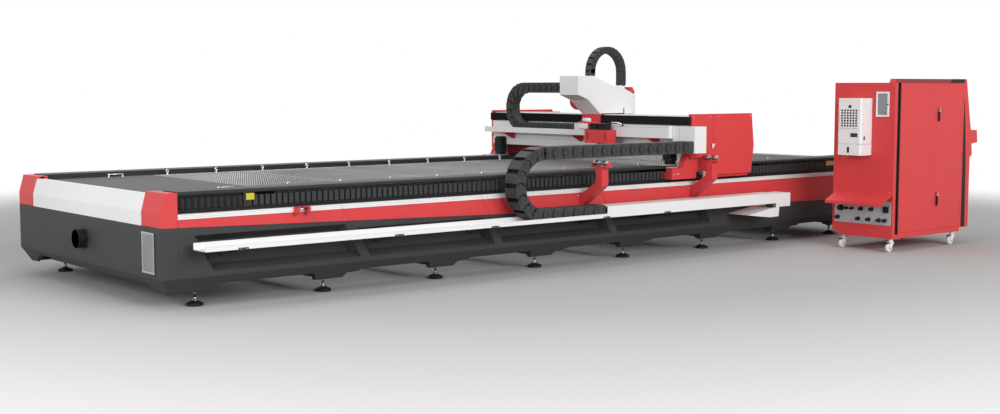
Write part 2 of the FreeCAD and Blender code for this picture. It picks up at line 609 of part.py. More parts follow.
def build_posts():
    """Posts that reach out from the band and carry the two support rollers on forks."""
    arms, reach, post, top = [], -s.post_reach, s.post_width, post_top
    arm = [(-3, s.arm_foot_low), (reach, s.arm_elbow_low), (reach, top), (reach + post, top)]
    arm += [(reach + post, s.arm_elbow_high), (-3, s.arm_foot_high)]
    inner, outer, sheet_mm = -s.roller_inner + 8, -s.roller_outer - 8, s.fork_sheet
    bored = (s.axle_radius + s.seat_gap) / math.cos(math.pi / 8)
    places = (("left", s.post_first_x), ("right", s.post_second_x))
    for side, centre in places:
        column = prism(arm, "X", centre - post / 2, centre + post / 2)
        base = box(centre - post / 2, outer, top, centre + post / 2, inner, top + sheet_mm)
        cheek = [(centre - 35, top + sheet_mm), (centre + 35, top + sheet_mm)]
        cheek += [(centre + 14, roller_height + 14), (centre - 14, roller_height + 14)]
        ears = [prism(cheek, "Y", ear, ear + sheet_mm) for ear in (inner - sheet_mm, outer)]
        hole = prism(regular(centre, roller_height, bored, 8), "Y", outer - 5, inner + 5)
        arms.append(fused(column, base, *ears).cut(hole))
        drum_start = Vector(centre, -s.roller_outer, roller_height)
        drum = rod(s.roller_radius, drum_start, Vector(centre, -s.roller_inner, roller_height))
        axle = prism(regular(centre, roller_height, s.axle_radius, 8), "Y", outer, inner)
        feature(f"support_roller_{side}", drum.fuse(axle))
    feature("roller_posts", *arms)


def straight_links(start, end, middle, height, pitch):
    """Outlines of the links of a straight run, as (along, height) points with bevelled corners."""
    count = max(1, round((end - start) / pitch))
    step = (end - start) / count
    gap, bevel = s.link_gap / 2, height * 0.08
    outlines = []
    for index in range(count):
        left, right = start + step * index + gap, start + step * (index + 1) - gap
        low, high = middle - height / 2, middle + height / 2
        link = [(left + bevel, low), (right - bevel, low), (right, low + bevel), (right, high - bevel)]
        link += [(right - bevel, high), (left + bevel, high), (left, high - bevel), (left, low + bevel)]
        outlines.append(link)
    return outlines, step


def bend_links(centre, middle, radius, height, count, side):
    """Outlines of the wedge-shaped links of a half turn; side -1 bulges towards lower values."""
    inner, outer = radius - height / 2, radius + height / 2
    gap = s.link_gap / (2 * inner)
    outlines = []
    for index in range(count):
        first = -math.pi / 2 + math.pi * index / count + gap
        last = -math.pi / 2 + math.pi * (index + 1) / count - gap
        ring = [(inner, first), (outer, first), (outer, last), (inner, last)]
        outlines.append([(centre + side * r * math.cos(a), middle + r * math.sin(a)) for r, a in ring])
    return outlines


def chain_piece(outline, axis, low, high, disc):
    """One link: a block with a round pivot boss on each side plate, if the chain shows them."""
    if not disc:
        return prism(outline, axis, low, high)
    link = prism(outline, axis, low + s.disc_rise, high - s.disc_rise)
    u = sum(point[0] for point in outline) / len(outline)
    w = sum(point[1] for point in outline) / len(outline)
    return link.fuse(prism(regular(u, w, disc, 8), axis, low, high))


def build_long_chain():
    low, high = -s.chain_front, -s.chain_front + s.chain_width
    start, tall = s.chain_bend_x + s.running_gap, s.chain_height
    runs = (("long_chain_lower", s.tray_cover_start, chain_lower),
            ("long_chain_upper", s.chain_moving_x, chain_upper))
    for label, end, middle in runs:
        outlines, _ = straight_links(start, end, middle, tall, s.chain_pitch)
        feature(label, *[chain_piece(outline, "Y", low, high, s.chain_disc) for outline in outlines])
    count = int(s.chain_bend_links)
    outlines = bend_links(s.chain_bend_x, chain_centre, s.chain_radius, tall, count, -1)
    links = [chain_piece(outline, "Y", low, high, s.chain_disc) for outline in outlines]
    feature("long_chain_bend", *links)


def build_cross_chain():
    low, high = s.duct_left + s.tray_sheet + 2, s.duct_right - s.tray_sheet - 2
    tall, radius, bend = s.cross_chain_height, s.cross_chain_radius, width - s.cross_bend_inset
    lower_middle = s.cross_tray_low + s.tray_sheet + s.running_gap + tall / 2
    end = bend - s.running_gap
    runs = (("cross_chain_lower", s.cross_tray_start, lower_middle),
            ("cross_chain_upper", s.cross_chain_moving_y, lower_middle + 2 * radius))
    for label, start, middle in runs:
        outlines, _ = straight_links(start, end, middle, tall, s.cross_chain_pitch)
        feature(label, *[chain_piece(outline, "X", low, high, 0) for outline in outlines])
    count = int(s.cross_chain_bend_links)
    outlines = bend_links(bend, lower_middle + radius, radius, tall, count, 1)
    feature("cross_chain_bend", *[chain_piece(outline, "X", low, high, 0) for outline in outlines])


def build_gantry():
    face, back, low, top = s.beam_face, s.beam_back, s.gantry_bottom, s.gantry_top
    seat, recess, groove = s.bellows_seat, face + s.bellows_recess, s.groove_height
    section = [(face, low), (back, low), (back, top), (recess, top), (recess, seat), (face, seat)]
    section += [(face, groove + 26), (face + s.groove_depth, groove + 14)]
    section += [(face + s.groove_depth, groove - 14), (face, groove - 26)]
    span = "size.bed_width + 2 * size.gantry_start"
    beam = plate("GantryBeam", "XZ_Plane", section, "size.gantry_start", span)
    rails = []
    for height in (seat + 20, top - 36):
        rail = doc.addObject("Part::Box", f"BeamRail{len(rails) + 1}")
        rail.Length = 12
        rail.setExpression("Width", span)
        rail.Height = 16
        rail.Placement.Base = Vector(recess - 12, -s.gantry_start, height)
        rails.append(rail)
    fusion = doc.addObject("Part::MultiFuse", "BeamWithRails")
    fusion.Shapes = [beam] + rails
    node(fusion, "gantry_beam")

    step, left, right = s.saddle_step, s.saddle_left, s.saddle_right
    outline = [(left, s.arm_bottom), (left, step), (left + 171, step), (left + 216, step + 98)]
    outline += [(left + 256, low), (right - 256, low), (right - 216, step + 98), (right - 171, step)]
    outline += [(right, step), (right, s.arm_bottom)]
    flange = plate("SaddlePlate", "XZ_Plane", outline, "size.saddle_front", "size.saddle_plate")
    arm = doc.addObject("Part::Box", "SaddleArm")
    arm.setExpression("Length", "size.saddle_right - size.saddle_left")
    reach = "size.rail_y + size.rail_width + 25"
    arm.setExpression("Width", reach + " + size.saddle_front - size.saddle_plate")
    arm.setExpression("Height", "size.arm_top - size.arm_bottom")
    arm.Placement.Base = Vector(left, s.saddle_plate - s.saddle_front, s.arm_bottom)
    blocks = [flange, arm]
    for start in (left + 60, right - 310):
        slider = doc.addObject("Part::Box", f"SlideBlock{len(blocks) - 1}")
        slider.Length = 250
        slider.setExpression("Width", "size.rail_width + 16")
        rail_top = "size.beam_top + size.rail_height + size.seat_gap"
        slider.setExpression("Height", f"size.arm_bottom - ({rail_top})")
        slider.Placement.Base = Vector(start, s.rail_y - 8, s.beam_top + s.rail_height + s.seat_gap)
        blocks.append(slider)
    saddle = doc.addObject("Part::MultiFuse", "Saddle")
    saddle.Shapes = blocks
    gathered("saddles", saddle, mirrored(saddle, "Y"))

    hem, knee_x = s.gantry_bottom - s.cover_hem, s.cover_right - s.cover_bevel
    outline = [(s.cover_left, s.cover_top), (s.cover_left, hem), (s.cover_step_x, hem)]
    outline += [(s.cover_step_x, s.cover_low), (knee_x, s.cover_low)]
    outline += [(s.cover_right, s.cover_knee), (knee_x, s.cover_top)]
    thick = "size.cover_front - size.saddle_front"
    shell = plate("EndShell", "XZ_Plane", outline, "size.cover_front", thick)
    seam = [(s.cover_seam - 1, s.cover_top + 1), (s.cover_seam + 1, s.cover_top + 1)]
    seam += [(s.cover_seam + 1, s.cover_knee), (s.cover_seam - 1, s.cover_knee)]
    pocket(shell, "ShellSeam", "XZ_Plane", seam, "size.cover_front", "4")
    end = s.cover_right - s.housing_inset
    housing = source("RearHousing", box(back + 4, -s.saddle_front, low, end, 160, top))
    latch_end, proud = s.latch_x + s.latch_size, -s.cover_front - 10
    latch_box = box(s.latch_x, proud, s.latch_low, latch_end, -s.cover_front, s.latch_high)
    latch = source("Latch", latch_box)
    far = doc.addObject("Part::Compound", "CoverParts")
    far.Links = [shell, housing]
    gathered("gantry_covers", shell, housing, latch, mirrored(far, "Y"))

    box_left, box_front = s.bracket_box_left, -s.bracket_box_front
    box_low, box_high = s.bracket_box_low, s.bracket_box_high
    beside = box(box_left, box_front, box_low, s.cover_left - 1, 25, box_high)
    ahead = box(s.cover_left - 1, box_front, box_low, s.cover_left + 74, -s.cover_front, box_high)
    behind = box(box_left, -s.gantry_start, box_low + 160, s.beam_face, 25, box_high)
    recess = box(s.beam_face, -s.gantry_start, 0, s.cover_left, 26, 2 * box_high)
    link_box = fused(beside.cut(recess), ahead, behind)
    low, near, far = s.cross_tray_low, 25.5, s.cross_tray_start
    long_duct = box(s.duct_left, near, low, s.duct_right, far, box_high)
    backing = box(s.duct_right, near, low, s.beam_face, far, low + 60)
    feature("cable_ducts", link_box, fused(long_duct, backing))

    wide, deep, neck_top = s.motor_width, s.motor_depth, s.motor_low + s.motor_neck
    motors = []
    for near in (s.motor_near, width - s.motor_near - wide):
        left = s.beam_face - deep
        body = box(left, near, neck_top, s.beam_face, near + wide, s.motor_high)
        neck = box(left + 20, near + 20, s.motor_low, s.beam_face, near + wide - 20, neck_top)
        motors.append(fused(body, neck))
    feature("drive_motors", *motors)


def build_cross_tray():
    """Open tray behind the duct for the cross chain, on gusseted tabs."""
    left, right, low, wall = s.duct_left, s.duct_right, s.cross_tray_low, s.tray_sheet
    start, end, top = s.cross_tray_start + s.running_gap, s.cross_tray_end, s.cross_tray_top
    floor = box(left, start, low, right, end, low + wall)
    front_wall = box(left, start, low + wall, left + wall, end, top)
    back_wall = box(right - wall, start, low + wall, right, end, top)
    tabs = []
    for row in (334, 1554, 2778):
        gusset = [(left, low), (s.beam_face, low), (s.beam_face, low - 80)]
        gusset += [(s.beam_face - 20, low - 80), (left, low - 12)]
        tab = box(left - 5, row - 35, low - 10, left + 40, row + 35, low)
        tabs.append(fused(prism(gusset, "Y", row - 4, row + 4), tab))
    spacer = box(right, 2700, low, s.beam_face, 2860, low + 50)
    feature("cross_tray", floor, front_wall, back_wall, *tabs, spacer)


def build_carriage():
    """Carriage on the beam, its hood, the lift arm with the servos and the cutting head."""
    near, far, floor = s.carriage_near, s.carriage_far, s.gantry_top + 5
    recess = s.beam_face + s.bellows_recess
    block = box(s.duct_right, near + 3, s.lift_arm_high, recess - 14, far, floor)
    arm_end = near + 3 + s.arm_length
    arm = box(s.head_left, near + 3, s.lift_arm_low, recess - 14, arm_end, s.lift_arm_high)
    sole = box(recess - 14, near, s.gantry_top + s.seat_gap, s.beam_back, far, floor)
    feature("carriage_plate", fused(block, arm, sole))

    outline = [(s.hood_nose_x, s.hood_high - 3), (s.hood_peak_x, s.hood_high)]
    outline += [(s.hood_step_x, s.hood_step), (s.hood_shelf_x, s.hood_step)]
    outline += [(s.hood_shelf_x, s.hood_shelf), (s.hood_back_x, s.hood_back), (s.hood_back_x, floor)]
    outline += [(s.duct_right, floor), (s.hood_knee_x, s.hood_knee), (s.hood_nose_x, s.hood_nose)]
    span = "size.carriage_far - size.carriage_near"
    cover = plate("Gooseneck", "XZ_Plane", outline, "-size.carriage_near", span)
    slot_end, slot_top = s.hood_slot_x + s.hood_slot_width, floor + s.hood_slot_height
    slot = [(s.hood_slot_x, floor - 1), (slot_end, floor - 1)]
    slot += [(slot_end, slot_top), (s.hood_slot_x, slot_top)]
    pocket(cover, "CoverSlot", "XZ_Plane", slot, "-size.carriage_near", "12")
    node(cover, "carriage_cover")

    left, right, low, high = s.head_left, s.head_right, s.head_low, s.head_high
    servos = []
    for start in (s.servo_near, s.servo_near + s.servo_pitch):
        end = start + s.servo_width
        servos.append(box(left, start, high, left + s.servo_depth, end, s.servo_top))
    feature("carriage_motors", *servos)

    shell = box(left, s.head_near, low, right, s.head_far, high)
    cavity = box(left + 12, s.mouth_near, low - 1, right - 12, s.mouth_far, high - 10)
    shell = shell.cut(cavity)
    for start in (s.mouth_near - 90, s.mouth_far + 60):
        shell = shell.cut(box(left - 1, start, low + 40, left + 5, start + 22, high - 40))
    hanger = box(left + 20, s.hanger_near, high, right, arm_end, s.lift_arm_low)
    feature("head_housing", fused(shell, hanger))

    def along(height):
        return Vector((left + right) / 2, s.quill_y, height)

    tip, radius = s.nozzle_tip, s.quill_radius
    quill = rod(radius, along(tip + s.quill_rise), along(high - 10 - s.seat_gap))
    cone = Part.makeCone(9, radius, s.quill_rise - s.cone_rise, along(tip + s.cone_rise))
    nozzle = Part.makeCone(s.tip_radius, 9, s.cone_rise, along(tip))
    feature("cutting_head", quill.fuse(cone).fuse(nozzle))

    low, high = s.arch_y - s.arch_width / 2, s.arch_y + s.arch_width / 2
    middle_x, middle_z = s.arch_x, s.arch_centre
    links = []
    for sign, foot in ((-1, s.hood_high), (1, s.hood_step)):
        across = middle_x + sign * s.arch_radius
        outlines, _ = straight_links(foot, middle_z, across, s.arch_height, 66)
        links += [prism([(w, u) for u, w in outline], "Y", low, high) for outline in outlines]
    inner, outer = s.arch_radius - s.arch_height / 2, s.arch_radius + s.arch_height / 2
    for index in range(10):
        first, last = math.pi * index / 10 + 0.002, math.pi * (index + 1) / 10 - 0.002
        ring = [(inner, first), (outer, first), (outer, last), (inner, last)]
        wedge = [(middle_x + r * math.cos(a), middle_z + r * math.sin(a)) for r, a in ring]
        links.append(prism(wedge, "Y", low, high))
    feature("arch_chain", *links)


def build_cabinet():
    """Control cabinet with two doors, the operator console on its end and the roof cap."""
    left, right, front, back = s.cabinet_left, cabinet_right, -s.cabinet_front, -s.cabinet_back
    low, high = s.cabinet_low, s.cabinet_high
    outline = [(left, low), (right, low), (right, high), (left, high)]
    deep = "size.cabinet_front - size.cabinet_back"
    body = plate("CabinetShell", "XZ_Plane", outline, "size.cabinet_front", deep)
    start, end, foot, head = door_left_edge, door_right_edge, s.door_low, s.door_high
    cavity = [(start + 4, foot + 4), (end - 4, foot + 4), (end - 4, head - 4), (start + 4, head - 4)]
    sink = deep + " - size.cabinet_wall + 1"
    pocket(body, "Cavity", "XZ_Plane", cavity, "size.cabinet_front + 1", sink)
    start, end = start - s.seat_gap, end + s.seat_gap
    seat = [(start, foot - 2), (end, foot - 2), (end, head + 2), (start, head + 2)]
    sink = "size.door_sheet + 1 + size.seat_gap"
    pocket(body, "DoorSeat", "XZ_Plane", seat, "size.cabinet_front + 1", sink)
    start, end = left + s.groove_left, left + s.groove_right
    groove = [(start, low - 1), (end, low - 1), (end, high + 1), (start, high + 1)]
    pocket(body, "CornerGroove", "XZ_Plane", groove, "size.cabinet_front + 1", "size.groove_sink")
    rim = s.window_frame
    near, far, foot, head = -s.window_near + rim, -s.window_far - rim, s.window_low, s.window_high
    view = [(near, foot + rim), (far, foot + rim), (far, head - rim), (near, head - rim)]
    pocket(body, "ViewRecess", "YZ_Plane", view, "size.cabinet_left - 1", "62")
    plinth_end = right - s.plinth_inset
    plinth = source("Plinth", box(left, front, s.plinth_low, plinth_end, -s.plinth_back, low))
    whole = doc.addObject("Part::Fuse", "CabinetOnPlinth")
    whole.Base = body
    whole.Tool = plinth
    node(whole, "cabinet_body")

    roof = high + s.roof_thickness
    brow, reach = right + s.console_brow_reach, right + s.console_reach
    outline = [(right, low), (right + s.console_foot, low), (reach, low + 4), (reach, s.console_knee)]
    outline += [(right + s.console_lip_reach, s.console_lip)]
    outline += [(right + s.console_shelf_reach, s.console_shelf), (brow, s.console_brow)]
    outline += [(right + s.console_top_reach, roof), (left + s.roof_slant, roof), (left, high)]
    outline += [(right, high)]
    shell = plate("ConsoleShell", "XZ_Plane", outline, "size.cabinet_front", deep)
    setback, rear = front + s.roof_setback, back + 1
    step = [(setback, roof + 1), (rear, roof + 1), (rear, high), (setback, high)]
    pocket(shell, "RoofStep", "YZ_Plane", step, "size.cabinet_left - 1", "size.cabinet_length")
    board = [(brow, s.console_shelf + 1), (right + s.keys_reach, s.keys_low)]
    board += [(right + s.keys_high_reach, s.console_brow), (brow, s.console_brow)]
    keys = source("KeyboardBox", prism(board, "Y", front, back - 60))
    console = doc.addObject("Part::Fuse", "Console")
    console.Base = shell
    console.Tool = keys
    node(console, "console_shell")

    gap = s.door_gap / 2
    leaves = (("cabinet_door_left", door_left_edge, door_seam - gap),
              ("cabinet_door_right", door_seam + gap, door_right_edge))
    for label, start, end in leaves:
        leaf = doc.addObject("Part::Box", label + "_leaf")
        leaf.Length = end - start
        leaf.setExpression("Width", "size.door_sheet")
        leaf.setExpression("Height", "size.door_high - size.door_low")
        leaf.Placement.Base = Vector(start, front, s.door_low)
        rounded = doc.addObject("Part::Chamfer", label + "_bevel")
        rounded.Base = leaf
        doc.recompute()
        edges = []
        for number, edge in enumerate(leaf.Shape.Edges, start=1):
            if edge.BoundBox.YMax < front + 1 and edge.BoundBox.ZLength > 100:
                edges.append((number, s.door_bevel, s.door_bevel))
        rounded.Edges = edges
        gathered(label, rounded)

    x, half = door_seam + s.handle_offset, s.handle_half
    handles = (("door_handle_upper", s.handle_high), ("door_handle_lower", s.handle_lower))
    for label, middle in handles:
        top, foot = middle + half, middle - half
        boss = prism(regular(x, top - 16, 13, 10), "Y", front - 6, front - 0.3)
        grip = [(x - 13, top), (x + 13, top), (x + 13, foot + 12), (x + 7, foot), (x - 7, foot)]
        grip.append((x - 13, foot + 12))
        feature(label, fused(boss, prism(grip, "Y", front - 26, front - 6)))


def build_cabinet_fittings():
    """Cooling unit, viewing window, cable glands with their canopy, and the four casters."""
    left, front = s.cabinet_left, s.cooler_front
    near, far, low = -s.cooler_near, -s.cooler_far, s.cooler_low
    bevel = s.cooler_bevel
    outline = [(front, far), (front, near + bevel), (front + bevel, near), (left, near), (left, far)]
    height = "size.cooler_high - size.cooler_low"
    cooler = plate("Cooler", "XY_Plane", outline, "size.cooler_low", height)
    holes = []
    pitch_y, pitch_z = 30, 28
    for row in range(7):
        for line in range(6):
            y0, z0 = far - 48 - pitch_y * line, low + 335 + pitch_z * row
            holes.append(box(front - 9, y0 - 16, z0, front + 6, y0, z0 + 16))
    grille_box = box(front - 8, far - 245, low + 318, front, far - 26, low + 540)
    drilled = source("GrilleHoles", Part.Compound(holes))
    unit = doc.addObject("Part::Fuse", "CoolerUnit")
    unit.Base = cooler
    unit.Tool = source("GrillePlate", grille_box)
    grille = doc.addObject("Part::Cut", "CoolerGrille")
    grille.Base = unit
    grille.Tool = drilled
    node(grille, "cooling_unit")

    near, far, rim, proud = -s.window_near, -s.window_far, s.window_frame, left - s.window_sheet
    foot, head = s.window_low, s.window_high
    frame = box(proud, near, foot, left - s.seat_gap, far, head)
    opening = box(proud - 1, near + rim, foot + rim, left + 1, far - rim, head - rim)
    middle = (foot + head) / 2
    knob = prism(regular(near + 10, middle, 7, 8), "X", proud - 12, proud)
    pane = box(left - 8, near + rim, foot + rim, left - 4, far - rim, head - rim)
    feature("window_frame", fused(frame.cut(opening), knob))
    feature("window_pane", pane)

    plate_front, near, far = left - 4, -s.socket_near, -s.socket_far
    panel = box(plate_front, near, s.socket_low, left, far, s.socket_high)
    span = far - near - 60
    upper_row = ((0.06, 30), (0.2, 15), (0.28, 15), (0.42, 20), (0.48, 20), (0.62, 20))
    lower_row = ((0.03, 22), (0.35, 20), (0.41, 20), (0.55, 20), (0.62, 20), (0.78, 20), (0.86, 20))
    glands = []
    for height, row in ((s.socket_high - 88, upper_row), (s.socket_low + 34, lower_row)):
        for share, radius in row:
            ring = regular(far - 30 - span * share, height, radius, 8, 22.5)
            glands.append(prism(ring, "X", plate_front - 34, plate_front))
    outlet = box(plate_front - 20, near + 50, 430, plate_front, near + 115, 500)
    feature("connector_plate", panel, *glands, outlet)

    lip_x, sheet_mm, top, edge = s.canopy_front, s.canopy_sheet, s.canopy_high, s.canopy_low
    slope = [(left, top), (lip_x, edge), (lip_x, edge - s.canopy_lip)]
    slope += [(lip_x + sheet_mm, edge - s.canopy_lip), (lip_x + sheet_mm, edge - 3)]
    slope += [(left, top - sheet_mm - 1)]
    feature("canopy", prism(slope, "Y", -s.cabinet_front, -s.canopy_far))

    number = 0
    radius, half = s.wheel_radius, s.wheel_width / 2
    for row in (-s.caster_near, -s.caster_far):
        for column in (s.cabinet_left + s.caster_inset_left, cabinet_right - s.caster_inset_right):
            number += 1
            hub = column - s.caster_trail
            outline = [(column - 34, 110), (column + 30, 110), (column + 26, 98), (hub + 12, radius - 12)]
            outline += [(hub - 12, radius - 12), (hub - 16, 84), (column - 40, 100)]
            cheeks = []
            for side in (-1, 1):
                middle = row + side * (half + 5)
                cheeks.append(prism(outline, "Y", middle - 2.5, middle + 2.5))
                bolt_end = middle + side * 6
                bolt = prism(regular(hub, radius, 8, 6), "Y", min(middle, bolt_end), max(middle, bolt_end))
                cheeks.append(bolt)
            edge = half + 7.5
            bridge = box(column - 34, row - edge, 106, column + 30, row + edge, 112)
            head = prism(regular(column, row, 24, 12), "Z", 112, s.plinth_low - s.seat_gap)
            feature(f"caster_fork_{number}", fused(*cheeks, bridge, head))
            tyre = rod(radius, Vector(hub, row - half, radius), Vector(hub, row + half, radius))
            reach = half + 2.5 - s.seat_gap
            boss = prism(regular(hub, radius, 14, 8), "Y", row - reach, row + reach)
            feature(f"caster_wheel_{number}", tyre.fuse(boss))


build_frame()
build_side_skins()
build_end_panels()
build_covers()
build_rail_covers()
build_bellows()
build_feet()
build_table()
build_duct()
build_tray()
build_brackets()
build_posts()
build_long_chain()
build_gantry()
build_cross_tray()
build_cross_chain()
build_carriage()
build_cabinet()
build_cabinet_fittings()
doc.recompute()

failed = [thing.Label for thing in doc.Objects if "Invalid" in thing.State or "Error" in thing.State]
if failed:
    raise RuntimeError("failed: " + ", ".join(failed))
os.makedirs("parts", exist_ok=True)
for thing in parts:
    if thing.Shape.isNull() or not thing.Shape.isValid():
        raise RuntimeError("bad shape: " + thing.Label)
    thing.Shape.exportStep(os.path.join("parts", thing.Label + ".step"))
print(len(parts), "sub-parts")
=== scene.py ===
import json
import math

import bpy
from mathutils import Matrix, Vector


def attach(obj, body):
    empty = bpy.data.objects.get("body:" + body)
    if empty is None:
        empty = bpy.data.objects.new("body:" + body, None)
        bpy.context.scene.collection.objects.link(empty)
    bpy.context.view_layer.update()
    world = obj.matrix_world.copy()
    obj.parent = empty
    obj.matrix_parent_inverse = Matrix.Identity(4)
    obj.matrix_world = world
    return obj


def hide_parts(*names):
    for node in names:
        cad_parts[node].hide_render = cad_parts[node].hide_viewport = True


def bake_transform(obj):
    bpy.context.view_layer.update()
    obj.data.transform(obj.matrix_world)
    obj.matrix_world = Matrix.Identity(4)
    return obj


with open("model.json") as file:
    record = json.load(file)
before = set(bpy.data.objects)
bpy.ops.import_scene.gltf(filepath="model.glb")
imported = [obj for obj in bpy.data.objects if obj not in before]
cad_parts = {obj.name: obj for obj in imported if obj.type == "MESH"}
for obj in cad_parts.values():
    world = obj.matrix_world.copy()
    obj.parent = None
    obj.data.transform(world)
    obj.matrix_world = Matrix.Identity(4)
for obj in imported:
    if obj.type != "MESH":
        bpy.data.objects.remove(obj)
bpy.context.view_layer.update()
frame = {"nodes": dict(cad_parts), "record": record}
nodes = frame["nodes"]
scene = bpy.context.scene

# Shared places, in bed millimetres: 0 is the bed's near left corner, at floor height.
BED_LENGTH, BED_WIDTH = 9290, 3071
FOOT_X, FOOT_Y = 368, 174
BAYS, BAY_START, BAY_PITCH = 7, 1231, 975
PLATE_LOW, TABLE_TOP = 905, 915
CABINET_LEFT, CABINET_NEAR = 7849, -1449
X_WAY, Y_WAY, UP = (1, 0, 0), (0, 1, 0), (0, 0, 1)
LEFT, NEAR, DOWN = (-1, 0, 0), (0, -1, 0), (0, 0, -1)


def at(x, y, z):
    """Bed millimetres to metres in the row frame, which starts at the near left foot."""
    return Vector(((x - FOOT_X) / 1000, (y - FOOT_Y) / 1000, z / 1000))


# -------- camera
camera_data = bpy.data.cameras.new("Camera")
camera_data.sensor_width = 36
camera_data.lens = 48.43
camera_data.clip_end = 200
camera = bpy.data.objects.new("Camera", camera_data)
scene.collection.objects.link(camera)
camera.location = (-5.104, -10.082, 1.800)
yaw, pitch = math.radians(50.235), math.radians(-5.1007)
forward = Vector((math.cos(yaw) * math.cos(pitch), math.sin(yaw) * math.cos(pitch),
                  math.sin(pitch)))
camera.rotation_euler = forward.to_track_quat("-Z", "Y").to_euler()
scene.camera = camera
scene.view_settings.view_transform = "Standard"


# -------- materials
TONE_SCALE, TONE_SPAN = 1.3, (0.3, 0.7)
SMOOTHEST = 0.03
BUMP_STRENGTH = 0.25
BEVEL_SAMPLES = 4


def node(tree, kind, inputs, **settings):
    """A new shader node. Each input gets a value, or a link where a socket is given."""
    made = tree.nodes.new("ShaderNode" + kind)
    for name, value in settings.items():
        setattr(made, name, value)
    for name, value in inputs.items():
        if isinstance(value, bpy.types.NodeSocket):
            tree.links.new(value, made.inputs[name])
        else:
            made.inputs[name].default_value = value
    return made


def empty_material(name):
    made = bpy.data.materials.new(name)
    made.use_nodes = True
    made.node_tree.nodes.clear()
    return made, made.node_tree


def material(name, colour, rough, speck, metal=0.0, grain=0.0, grain_scale=400.0, edge=0.0,
             specular=0.5, tint=0.04, stretch=(1, 1, 1)):
    """A procedural finish: slow tone changes, fine roughness changes, grain and soft edges."""
    made, tree = empty_material(name)
    place = node(tree, "TexCoord", {}).outputs["Object"]
    place = node(tree, "Mapping", {"Vector": place, "Scale": stretch}).outputs["Vector"]

    slow = node(tree, "TexNoise", {"Vector": place, "Scale": TONE_SCALE, "Detail": 3})
    tone = node(tree, "MapRange", {
        "Value": slow.outputs["Fac"], "From Min": TONE_SPAN[0], "From Max": TONE_SPAN[1],
        "To Min": 1 - tint, "To Max": 1 + tint}).outputs["Result"]
    paint = node(tree, "VectorMath", {0: colour, "Scale": tone}, operation="SCALE")
    fine = node(tree, "TexNoise", {"Vector": place, "Scale": grain_scale, "Detail": 2})
    fine = fine.outputs["Fac"]
    spread = node(tree, "MapRange", {"Value": fine, "To Min": max(SMOOTHEST, rough - speck),
                                     "To Max": min(1.0, rough + speck)})
    surface = {"Base Color": paint.outputs["Vector"], "Roughness": spread.outputs["Result"],
               "Metallic": metal, "Specular IOR Level": specular}
    normal = {}
    if edge:
        bevel = node(tree, "Bevel", {"Radius": edge}, samples=BEVEL_SAMPLES)
        normal["Normal"] = bevel.outputs["Normal"]
    if grain:
        bump = node(tree, "Bump", {"Strength": BUMP_STRENGTH, "Distance": grain, "Height": fine,
                                   **normal})
        normal["Normal"] = bump.outputs["Normal"]
    shader = node(tree, "BsdfPrincipled", {**surface, **normal})
    node(tree, "OutputMaterial", {"Surface": shader.outputs["BSDF"]})
    return made


looks = {
    "red_coat": dict(colour=(0.62, 0.052, 0.055), rough=0.45, speck=0.05, grain=0.0002,
                     edge=0.003, specular=0.25),
    "white_coat": dict(colour=(0.76, 0.76, 0.76), rough=0.42, speck=0.05, grain=0.0002,
                       edge=0.003, tint=0.02),
    "dark_panel": dict(colour=(0.04, 0.04, 0.041), rough=0.55, speck=0.07, grain=0.0003,
                       edge=0.003, specular=0.25),
    "dark_band": dict(colour=(0.02, 0.02, 0.021), rough=0.5, speck=0.06, grain=0.0002,
                      edge=0.002, specular=0.22),
    "grey_coat": dict(colour=(0.4, 0.4, 0.41), rough=0.35, speck=0.06, grain=0.0001,
                      edge=0.002, tint=0.02),
    "frame_coat": dict(colour=(0.045, 0.045, 0.047), rough=0.55, speck=0.08, grain=0.0003,
                       edge=0.003, specular=0.3),
    "ground_steel": dict(colour=(0.38, 0.38, 0.39), rough=0.36, metal=1, speck=0.08,
                         grain=0.0001, grain_scale=900, stretch=(0.05, 1, 1)),
    "slat_steel": dict(colour=(0.44, 0.43, 0.42), rough=0.45, metal=0.8, speck=0.12,
                       grain=0.0003, grain_scale=120, tint=0.12),
    "bright_plating": dict(colour=(0.62, 0.62, 0.63), rough=0.2, metal=1, speck=0.06,
                           grain=0.0001),
    "bellows_cloth": dict(colour=(0.03, 0.03, 0.031), rough=0.6, speck=0.08, grain=0.0004,
                          grain_scale=700, specular=0.3),
    "chain_plastic": dict(colour=(0.038, 0.038, 0.039), rough=0.5, speck=0.08, grain=0.0003,
                          edge=0.0015, specular=0.35),
    "motor_coat": dict(colour=(0.011, 0.012, 0.012), rough=0.5, speck=0.06, grain=0.0002,
                       edge=0.002, specular=0.18),
    "nozzle_metal": dict(colour=(0.6, 0.56, 0.48), rough=0.25, metal=1, speck=0.05,
                         grain=0.0001),
    "pane_glass": dict(colour=(0.22, 0.23, 0.24), rough=0.08, speck=0.02, specular=0.6),
    "wheel_nylon": dict(colour=(0.7, 0.7, 0.7), rough=0.4, speck=0.06, grain=0.0002,
                        edge=0.002),
    "handle_metal": dict(colour=(0.012, 0.016, 0.017), rough=0.42, speck=0.05, grain=0.0001,
                         edge=0.002, specular=0.25),
}
finishes = {slot: material(slot.title().replace("_", ""), **look) for slot, look in looks.items()}
yellow = material("YellowPlate", (0.5, 0.45, 0.01), 0.4, 0.05, grain=0.0002)
black_cloth = material("BlackCloth", (0.012, 0.012, 0.012), 0.75, 0.06, grain=0.0003, specular=0.1)
# Near-black for dark joints, and for painted shade in the corner groove, the gap between the doors,
# the head's slots and behind the inlet lattice.
dark_joint_and_shade = material("DarkJointAndShade", (0.008, 0.008, 0.008), 0.7, 0.05)
# Painted shade: a darker copy of the red paint, for the roof's front.
painted_shade_red = material("PaintedShadeRed", (0.2, 0.016, 0.018), 0.5, 0.05, grain=0.0002)
plating, black, white = finishes["bright_plating"], finishes["motor_coat"], finishes["white_coat"]

for entry in frame["record"]["subparts"]:
    thing = nodes[entry["node"]]
    finish = finishes[entry["material_slot"]]
    if not thing.material_slots:
        thing.data.materials.append(finish)
    for holder in thing.material_slots:
        holder.material = finish


